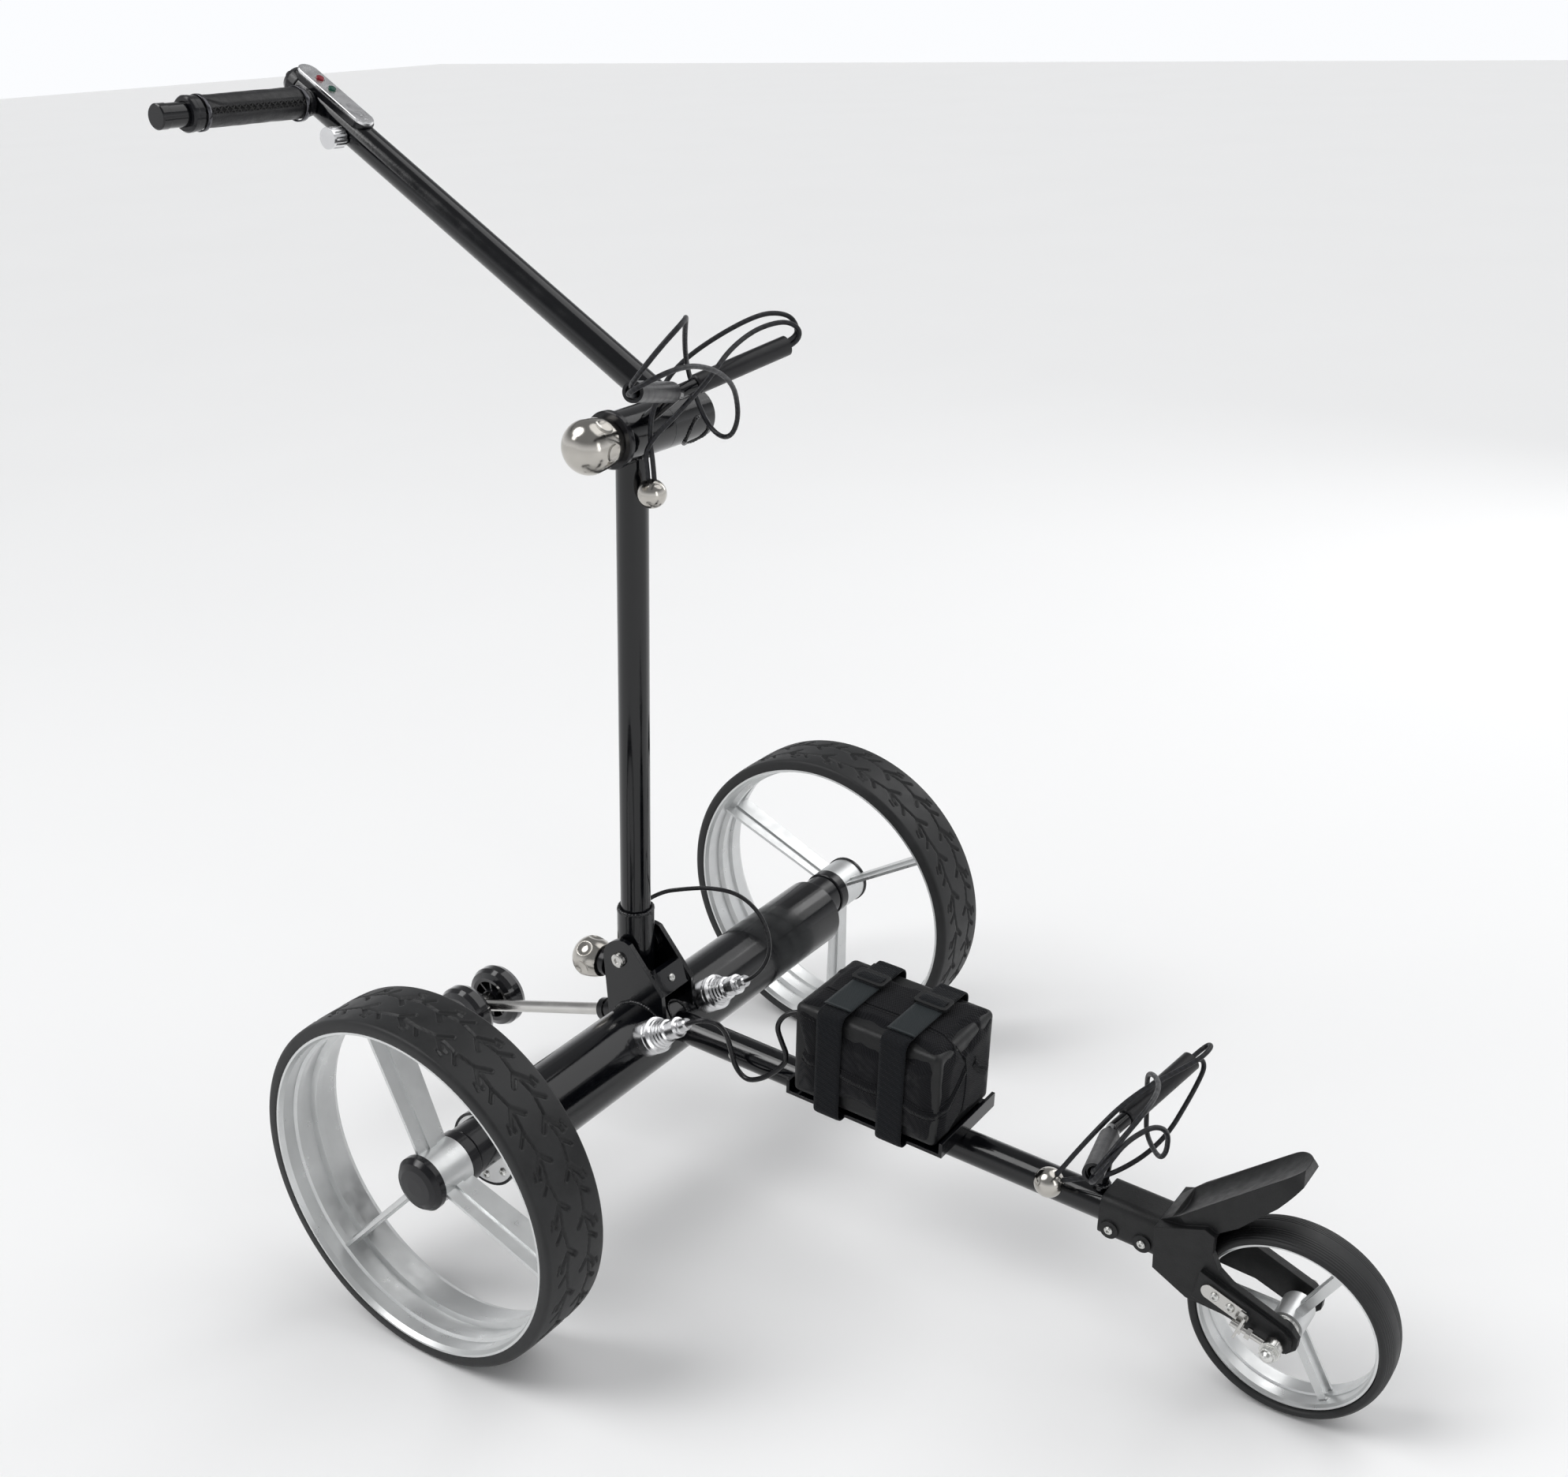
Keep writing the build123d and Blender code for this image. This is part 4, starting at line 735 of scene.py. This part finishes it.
MAIN_R = 35 * MM
tube_centre = at(TUBE[0], 0, TUBE[1])
knuckle = at(KNUCKLE[0], 0, KNUCKLE[1])
weld("weld_foot", "upright", ring_path(on_upright(44.6), UP, 15.6 * MM), 2.2 * MM)
weld("weld_knuckle", "upright", saddle_path(on_upright(400), -UP, 14.4 * MM, knuckle, -22.0 * MM), 1.9 * MM)
weld("weld_frame", "chassis",
     saddle_path(at(300, 0, frame_z(300)), -ALONG_FRAME, 14.4 * MM, tube_centre, MAIN_R), 2.2 * MM)
TIP_DIR = Vector((-0.9617, 0, -0.2741))
weld("weld_socket", "chassis",
     saddle_path(at(-36, 0, 154) + TIP_DIR * 0.2, -TIP_DIR, 10.2 * MM, tube_centre, MAIN_R), 1.7 * MM)
weld("weld_handle", "handle", saddle_path(on_handle(200), -ALONG, 14.3 * MM, knuckle, 22 * MM), 1.9 * MM)
weld("weld_lower_stem", "chassis",
     ring_path(at(463.9, 0, 146), (at(471.4, 0, 200.1) - at(461.2, 0, 130)).normalized(), 6.2 * MM), 1.7 * MM)
for sign in (-1, 1):
    y = sign * 25.3
    arc = [at(TUBE[0] + 35.3 * math.cos(a), y, TUBE[1] + 35.3 * math.sin(a))
           for a in (math.radians(24 + 132 * k / 40) for k in range(41))]
    weld(f"weld_cheek_{'left' if sign > 0 else 'right'}", "chassis", arc, 1.9 * MM, closed=False)


# ---------------------------------------------------------------- battery bag
BAG_LONG, BAG_WIDE, BAG_TALL, BAG_LOW = 151.0, 102.0, 97.0, 17.25
STRAPS = (30.0, 93.0)
STRAP_WIDE = 25.0
WRINKLE_SEED = Vector((3.1, 7.7, 1.3))


def evaluated(obj, name):
    """A new object with the modifiers of another one applied."""
    graph = bpy.context.evaluated_depsgraph_get()
    graph.update()
    mesh = bpy.data.meshes.new_from_object(obj.evaluated_get(graph))
    mesh.name = name
    new = bpy.data.objects.new(name, mesh)
    bpy.context.scene.collection.objects.link(new)
    bpy.data.objects.remove(obj)
    return new


def bag_block():
    """Soft-edged block, a little smaller than the bag, in close square faces."""
    bm = bmesh.new()
    bmesh.ops.create_cube(bm, size=1.0)
    for vert in bm.verts:
        vert.co = Vector((vert.co.x * (BAG_LONG - 4), vert.co.y * (BAG_WIDE - 5), vert.co.z * (BAG_TALL - 4)))
    bmesh.ops.bevel(bm, geom=bm.edges[:], offset=7.0, segments=3, affect="EDGES", profile=0.5)
    for vert in bm.verts:
        vert.co = vert.co / 1000
    mesh = bpy.data.meshes.new("bag_block")
    bm.to_mesh(mesh)
    bm.free()
    obj = bpy.data.objects.new("bag_block", mesh)
    bpy.context.scene.collection.objects.link(obj)
    remesh = obj.modifiers.new("remesh", "REMESH")
    remesh.mode = "VOXEL"
    remesh.voxel_size = 0.0042
    return evaluated(obj, "bag_shell")


def inflate(obj, frames=20, pressure=4.0, limit=0.0035):
    """Cloth under light pressure, then each point kept within a limit of where it started."""
    before = [v.co.copy() for v in obj.data.vertices]
    cloth = obj.modifiers.new("cloth", "CLOTH")
    cloth.settings.use_pressure = True
    cloth.settings.uniform_pressure_force = pressure
    cloth.settings.effector_weights.gravity = 0.0
    cloth.settings.quality = 5
    cloth.point_cache.frame_start = 1
    cloth.point_cache.frame_end = frames
    scene = bpy.context.scene
    for number in range(1, frames + 1):
        scene.frame_set(number)
    new = evaluated(obj, "bag_shell_full")
    scene.frame_set(1)
    for vert, old in zip(new.data.vertices, before):
        move = vert.co - old
        if move.length > limit:
            vert.co = old + move * (limit / move.length)
    return new


def ridge(p, a, b, width, height):
    """Height of a soft fold from a to b, in mm."""
    ab = b - a
    t = max(0.0, min(1.0, (p - a).dot(ab) / ab.length_squared))
    gap = (p - (a + ab * t)).length
    return height * math.exp(-(gap / width) ** 2)


# Folds at the tucked corners and pulls in the cloth, about the bag's middle: start, end, half width, height
FOLDS = [
    ((75, -14, 47), (46, -51, 24), 4.2, 2.6), ((75, -24, 42), (50, -51, 14), 3.2, -1.9),
    ((75, 14, 47), (46, 51, 24), 4.2, 2.6), ((75, 24, 42), (50, 51, 14), 3.2, -1.9),
    ((-75, -14, 47), (-46, -51, 24), 4.2, 2.0), ((-75, 14, 47), (-46, 51, 24), 4.2, 2.0),
    ((76, -6, 44), (76, -2, -40), 3.5, 1.8), ((76, -11, 40), (76, -8, -38), 2.5, -1.3),
    ((60, -51, -6), (75, -30, -34), 5.0, 1.3), ((20, -51, 20), (4, -51, -8), 3.0, 1.1),
    ((-10, -51, 24), (-2, -51, 4), 3.0, -1.0), ((52, -51, -10), (30, -51, -36), 4.0, 1.0),
    ((-60, -51, 26), (-50, -51, -4), 4.0, 1.2), ((66, -51, 30), (46, -51, 22), 3.0, 1.6),
    ((10, 51, 26), (-4, 51, -14), 4.0, 1.2), ((-50, 51, 20), (-62, 51, -20), 4.0, 1.2),
    ((-76, 10, 40), (-76, -6, -30), 4.0, 1.4), ((50, -4, 48.5), (72, 6, 48.5), 5.0, 1.0),
    ((-20, 20, 48.5), (10, 30, 48.5), 5.0, 0.9), ((-66, -10, 48.5), (-50, 14, 48.5), 5.0, 1.0),
]


def dress_bag(obj):
    """Fold, crease and strap-pressed cloth, moved to its place on the tray."""
    folds = [(Vector(a), Vector(b), w, h) for a, b, w, h in FOLDS]
    obj.data.update()
    normals = [v.normal.copy() for v in obj.data.vertices]
    lows = (-BAG_LONG / 2, -BAG_WIDE / 2, -BAG_TALL / 2)
    for vert, normal in zip(obj.data.vertices, normals):
        p = vert.co * 1000
        lift = sum(ridge(p, a, b, w, h) for a, b, w, h in folds)
        crease = noise.noise(Vector((p.x * 0.05, p.y * 0.06, p.z * 0.035)) + WRINKLE_SEED)
        lift += 1.1 * crease + 0.5 * noise.noise(p * 0.12 + WRINKLE_SEED)
        for start in STRAPS:
            middle = start + STRAP_WIDE / 2 - BAG_LONG / 2
            inside = max(0.0, 1.0 - max(0.0, abs(p.x - middle) - STRAP_WIDE / 2) / 7.0)
            lift = lift * (1 - inside) - 0.9 * inside
        q = p + normal * lift
        q = Vector([max(low + 0.1, min(-low - 0.1, c)) if k != 1 else max(low - 1.5, min(-low + 1.5, c))
                    for k, (c, low) in enumerate(zip(q, lows))])
        for start in STRAPS:
            middle = start + STRAP_WIDE / 2 - BAG_LONG / 2
            if abs(p.x - middle) < STRAP_WIDE / 2 + 1.5:
                q.y = max(-BAG_WIDE / 2 + 0.1, min(BAG_WIDE / 2 - 0.1, q.y))
        vert.co = on_bag(q.x + BAG_LONG / 2, q.y, q.z + BAG_LOW + BAG_TALL / 2)
    obj.data.update()


bag = bag_block()
bag = inflate(bag)
sub = bag.modifiers.new("sub", "SUBSURF")
sub.levels = 1
sub.render_levels = 1
bag = evaluated(bag, "battery_bag_cover")
bag.name = "battery_bag_cover"
dress_bag(bag)
tidy_normals(bag)
place(bag, "chassis", NYLON)
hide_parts("battery_bag")

bag_tree = BVHTree.FromPolygons([v.co.copy() for v in bag.data.vertices],
                                [tuple(p.vertices) for p in bag.data.polygons])


def on_surface(p):
    """Nearest place on the bag's cloth, and its normal."""
    return bag_tree.find_nearest(p)[:2]


def laid(name, path, section, material, lift=0.0):
    """A strip laid on the bag's cloth; section(k) gives (across, out) offsets in metres."""
    line = resample(path, 0.0008)
    spots = [on_surface(p) for p in line]
    count = len(line)
    points, size = [], 0
    for k in range(count):
        ahead = spots[min(k + 1, count - 1)][0]
        behind = spots[max(k - 1, 0)][0]
        spot, normal = spots[k]
        tangent = (ahead - behind).normalized()
        across = normal.cross(tangent).normalized()
        ring = section(k)
        size = len(ring)
        points += [spot + across * a + normal * (b + lift) for a, b in ring]
    faces = grid_faces(count, size, False, True)
    faces += [tuple(range(size))[::-1], tuple(range((count - 1) * size, count * size))]
    obj = mesh_object(name, points, faces)
    tidy_normals(obj)
    place(obj, "chassis", material)


def bag_line(points, per=14):
    """Smooth line through points on the bag, in its own millimetres."""
    places = [Vector(p) for p in points]
    ends = [places[0] * 2 - places[1]] + places + [places[-1] * 2 - places[-2]]
    out = []
    for k in range(1, len(ends) - 2):
        a, b, c, d = ends[k - 1:k + 3]
        for j in range(per):
            t = j / per
            out.append(0.5 * (2 * b + (c - a) * t + (2 * a - 5 * b + 4 * c - d) * t * t
                              + (3 * b - a - 3 * c + d) * t ** 3))
    out.append(places[-1])
    return [on_bag(p.x, p.y, p.z) for p in out]


def piping(k):
    return circle(0.00085, 8)


def zip_tape(k):
    tooth = 0.0005 if k % 3 else 0.0
    return [(-0.0042, -0.0006), (-0.0042, 0.0006), (-0.0016, 0.0007), (-0.0013, 0.0011 + tooth),
            (0.0013, 0.0011 + tooth), (0.0016, 0.0007), (0.0042, 0.0006), (0.0042, -0.0006)]


def stitches(k):
    return circle(0.00035 if k % 5 < 3 else 0.00008, 6)


def zip_path(sign):
    """The zip's line along one side of the bag, round the front corner and up to the front seam."""
    return [(3, sign * 40, 66), (4, sign * 51, 64), (30, sign * 51, 62), (75, sign * 51, 60),
            (112, sign * 51, 58), (132, sign * 51, 55), (146, sign * 47, 54), (151, sign * 32, 60),
            (151, sign * 18, 70), (151, sign * 8, 80)]


def flap_path(sign):
    return [(4, sign * 51, 103), (40, sign * 51, 101.5), (75, sign * 51, 101), (110, sign * 51, 101),
            (128, sign * 51, 99)]


TOP_SEAM = [(0, -13, 112), (8, -13, 114), (50, -15, 114), (100, -14, 114), (132, -17, 114), (150, -24, 108)]
TOP_STITCHES = [(6, -16.5, 114), (50, -18.5, 114), (100, -17.5, 114), (132, -20.5, 114)]
FRONT_SEAM = [(150, -18, 110), (151, -10, 96), (151, -5, 74), (151, -6, 50), (151, -12, 26)]
for label, sign in (("right", -1), ("left", 1)):
    laid(f"zip_{label}", bag_line(zip_path(sign)), zip_tape, NYLON)
    for name, shift in (("above", 5.2), ("below", -5.2)):
        edge = [(u, v, w + shift) for u, v, w in zip_path(sign)]
        laid(f"zip_piping_{label}_{name}", bag_line(edge), piping, NYLON)
    laid(f"flap_stitching_{label}", bag_line(flap_path(sign)), stitches, THREAD, lift=0.0002)
laid("top_seam", bag_line(TOP_SEAM), piping, NYLON)
laid("top_stitching", bag_line(TOP_STITCHES), stitches, THREAD, lift=0.0002)
laid("front_seam", bag_line(FRONT_SEAM), piping, NYLON)


# ---------------------------------------------------------------- straps
def rounded_loop(half_wide, low, high, inner_end):
    """Open path round the bag in (v, w) mm, from under the tray on one side to under it on the other."""
    radius = 8.0
    steps = 8
    corners = [(half_wide - radius, low + radius, -90), (half_wide - radius, high - radius, 0)]
    path = [(inner_end, low)]
    for cx, cy, start in corners:
        for k in range(steps + 1):
            a = math.radians(start + 90 * k / steps)
            path.append((cx + radius * math.cos(a), cy + radius * math.sin(a)))
    path += [(-v, w) for v, w in reversed(path)]
    return path


RIB_PITCH = 1.7
BAND_STEP = 0.45


def band(name, start, path, width, thickness, material, rib=0.0):
    """Flat webbing along a path in the (v, w) plane of the bag, ribbed across."""
    line = resample([Vector((0, v, w)) for v, w in path], BAND_STEP)
    count = len(line)
    columns = 9
    points = []
    for k, p in enumerate(line):
        ahead = line[min(k + 1, count - 1)]
        behind = line[max(k - 1, 0)]
        tangent = (ahead - behind).normalized()
        out = Vector((0, tangent.z, -tangent.y))
        bulge = rib * (0.5 + 0.5 * math.cos(2 * math.pi * k * BAND_STEP / RIB_PITCH))
        for j in range(columns):
            t = j / (columns - 1)
            u = start + width * t
            edge = min(t, 1 - t)
            skin = thickness / 2 + bulge - (0.35 if edge < 0.02 else 0.0)
            q = p + out * skin
            points.append(on_bag(u, q.y, q.z))
        for j in reversed(range(columns)):
            t = j / (columns - 1)
            q = p - out * (thickness / 2 - (0.35 if min(t, 1 - t) < 0.02 else 0.0))
            points.append(on_bag(start + width * t, q.y, q.z))
    size = 2 * columns
    faces = grid_faces(count, size, False, True)
    faces += [tuple(range(size))[::-1], tuple(range((count - 1) * size, count * size))]
    obj = mesh_object(name, points, faces)
    tidy_normals(obj)
    return place(obj, "chassis", material)


STRAP_TOP = 115.9
lie = STRAP_TOP + 1.9
TAB_PATH = [(8, lie + 1.4), (4, lie), (0, lie), (-10, lie), (-20, lie), (-30, lie - 0.1), (-38, lie - 0.1),
            (-41, lie + 0.5)]
END_PATH = [(4.0, lie + 0.8), (7.5, lie + 2.4), (11, lie + 3.5), (14, lie + 3.6), (17, lie + 3.5),
            (20.5, lie + 2.4), (24, lie + 0.7), (28, lie), (34, lie), (38, lie)]
for k, start in enumerate(STRAPS):
    loop = rounded_loop(52.5, 10.25, STRAP_TOP, 13.0)
    strap = band(f"strap_{k}", start, loop, STRAP_WIDE, 1.6, WEB, 0.3)
    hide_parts("bag_straps")
    band(f"strap_tab_{k}", start - 0.8, TAB_PATH, STRAP_WIDE + 1.6, 1.3, TAB)
    band(f"strap_end_{k}", start, END_PATH, STRAP_WIDE, 1.4, WEB, 0.12)


# ---------------------------------------------------------------- leather grip
GRIP_LOW, GRIP_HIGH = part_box("leather_grip")
GRIP_X = (GRIP_LOW.x + GRIP_HIGH.x) / 2
GRIP_Z = (GRIP_LOW.z + GRIP_HIGH.z) / 2
GRIP_R = (GRIP_HIGH.z - GRIP_LOW.z) / 2
SEAM = math.radians(6)
LACE_SPREAD = 0.2
LACE_HOLES = 17


def on_grip(angle, y, radius):
    return Vector((GRIP_X + radius * math.cos(angle), y, GRIP_Z + radius * math.sin(angle)))


def leather():
    """Leather sleeve, its two edges drawn together at a sunken seam beside a raised flap."""
    low, high = GRIP_LOW.y, GRIP_HIGH.y
    rings, sides = 150, 144
    points = []
    for i in range(rings):
        t = i / (rings - 1)
        y = high + (low - high) * t
        for j in range(sides):
            a = 2 * math.pi * j / sides
            from_seam = (a - SEAM + math.pi) % (2 * math.pi) - math.pi
            r = GRIP_R - 0.0014
            r += 0.00035 * noise.noise(Vector((math.cos(a) * 2.2, y * 60, math.sin(a) * 2.2)))
            r -= 0.0009 * math.exp(-(from_seam / 0.05) ** 2)
            r += 0.0006 * math.exp(-((abs(from_seam) - LACE_SPREAD) / 0.1) ** 2)
            flap = 0.3 + 1.5 * max(0.0, t - 0.78) ** 2 * 14
            r += 0.0012 / (1 + math.exp(-(from_seam - flap) * 40)) * (1 if from_seam < 2.6 else 0)
            ends = min(t, 1 - t) * (rings - 1)
            r -= 0.0006 * max(0.0, 1 - ends / 2.5) ** 2
            points.append(on_grip(a, y, r))
    faces = grid_faces(rings, sides, False, True)
    inner = len(points)
    for y in (high, low):
        points += [on_grip(2 * math.pi * j / sides, y, 0.0107) for j in range(sides)]
    last = (rings - 1) * sides
    for j in range(sides):
        k = (j + 1) % sides
        faces.append((j, k, inner + k, inner + j))
        faces.append((last + j, last + k, inner + sides + k, inner + sides + j))
        faces.append((inner + j, inner + k, inner + sides + k, inner + sides + j))
    obj = mesh_object("laced_leather", points, faces)
    tidy_normals(obj)
    place(obj, "handle", LEATHER)
    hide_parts("leather_grip")


def lacing():
    """Crossed laces along the seam, as one mesh."""
    points, faces = [], []
    pitch = (GRIP_HIGH.y - GRIP_LOW.y - 0.012) / (LACE_HOLES - 1)
    for k in range(LACE_HOLES - 1):
        for sign in (-1, 1):
            line = []
            for j in range(7):
                t = j / 6
                angle = SEAM + sign * LACE_SPREAD * (2 * t - 1)
                y = GRIP_HIGH.y - 0.006 - pitch * (k + t)
                line.append(on_grip(angle, y, GRIP_R - 0.0009 + 0.0011 * math.sin(math.pi * t) ** 0.5))
            part = swept("lace", line, lambda k: circle(0.00062, 6))
            base = len(points)
            points += [v.co.copy() for v in part.data.vertices]
            faces += [tuple(base + v for v in p.vertices) for p in part.data.polygons]
            bpy.data.objects.remove(part)
    place(mesh_object("grip_lacing", points, faces), "handle", THREAD)


leather()
lacing()


def clamp_band(name, y, width):
    """Thin dark clamp ring round the leather."""
    radius = 15.9
    centre = Vector((GRIP_X, y, GRIP_Z))
    half = width * 500
    profile = [(-half, 14.6), (-half, radius - 0.25), (-half + 0.3, radius), (half - 0.3, radius),
               (half, radius - 0.25), (half, 14.6)]
    obj = revolve(name, centre, profile, 128)
    place(obj, "handle", DARK_STEEL)


clamp_band("clamp_band_outer", GRIP_LOW.y + 0.004, 0.004)
clamp_band("clamp_band_inner", GRIP_HIGH.y - 0.004, 0.005)


# ---------------------------------------------------------------- control panel marks
PLATE_TOP = 18.42
PLATE = on_handle(0, PLATE_TOP)


def mark(name, path, radius, closed, material=MARK):
    """Raised line on the panel's plate, through (along, aside) points in mm."""
    line = [PLATE + (ALONG * a + SIDE * b) / 1000 for a, b in path]
    obj = swept(name, resample(line, 0.0004, closed), lambda k: circle(radius, 6), closed)
    place(obj, "handle", material)


mark("panel_box_mark", [(424, -3.4), (431, -3.4), (431, 3.4), (424, 3.4)], 0.00016, True)
mark("panel_line_mark", [(438, -2.6), (443, -2.6), (443, 2.6)], 0.00016, False)
for s, label in ((483.0, "red"), (466.0, "green")):
    ring = [(s + 4.6 * math.cos(a), 4.6 * math.sin(a)) for a in (2 * math.pi * k / 48 for k in range(48))]
    mark(f"{label}_ring_mark", ring, 0.00022, True, CHROME)
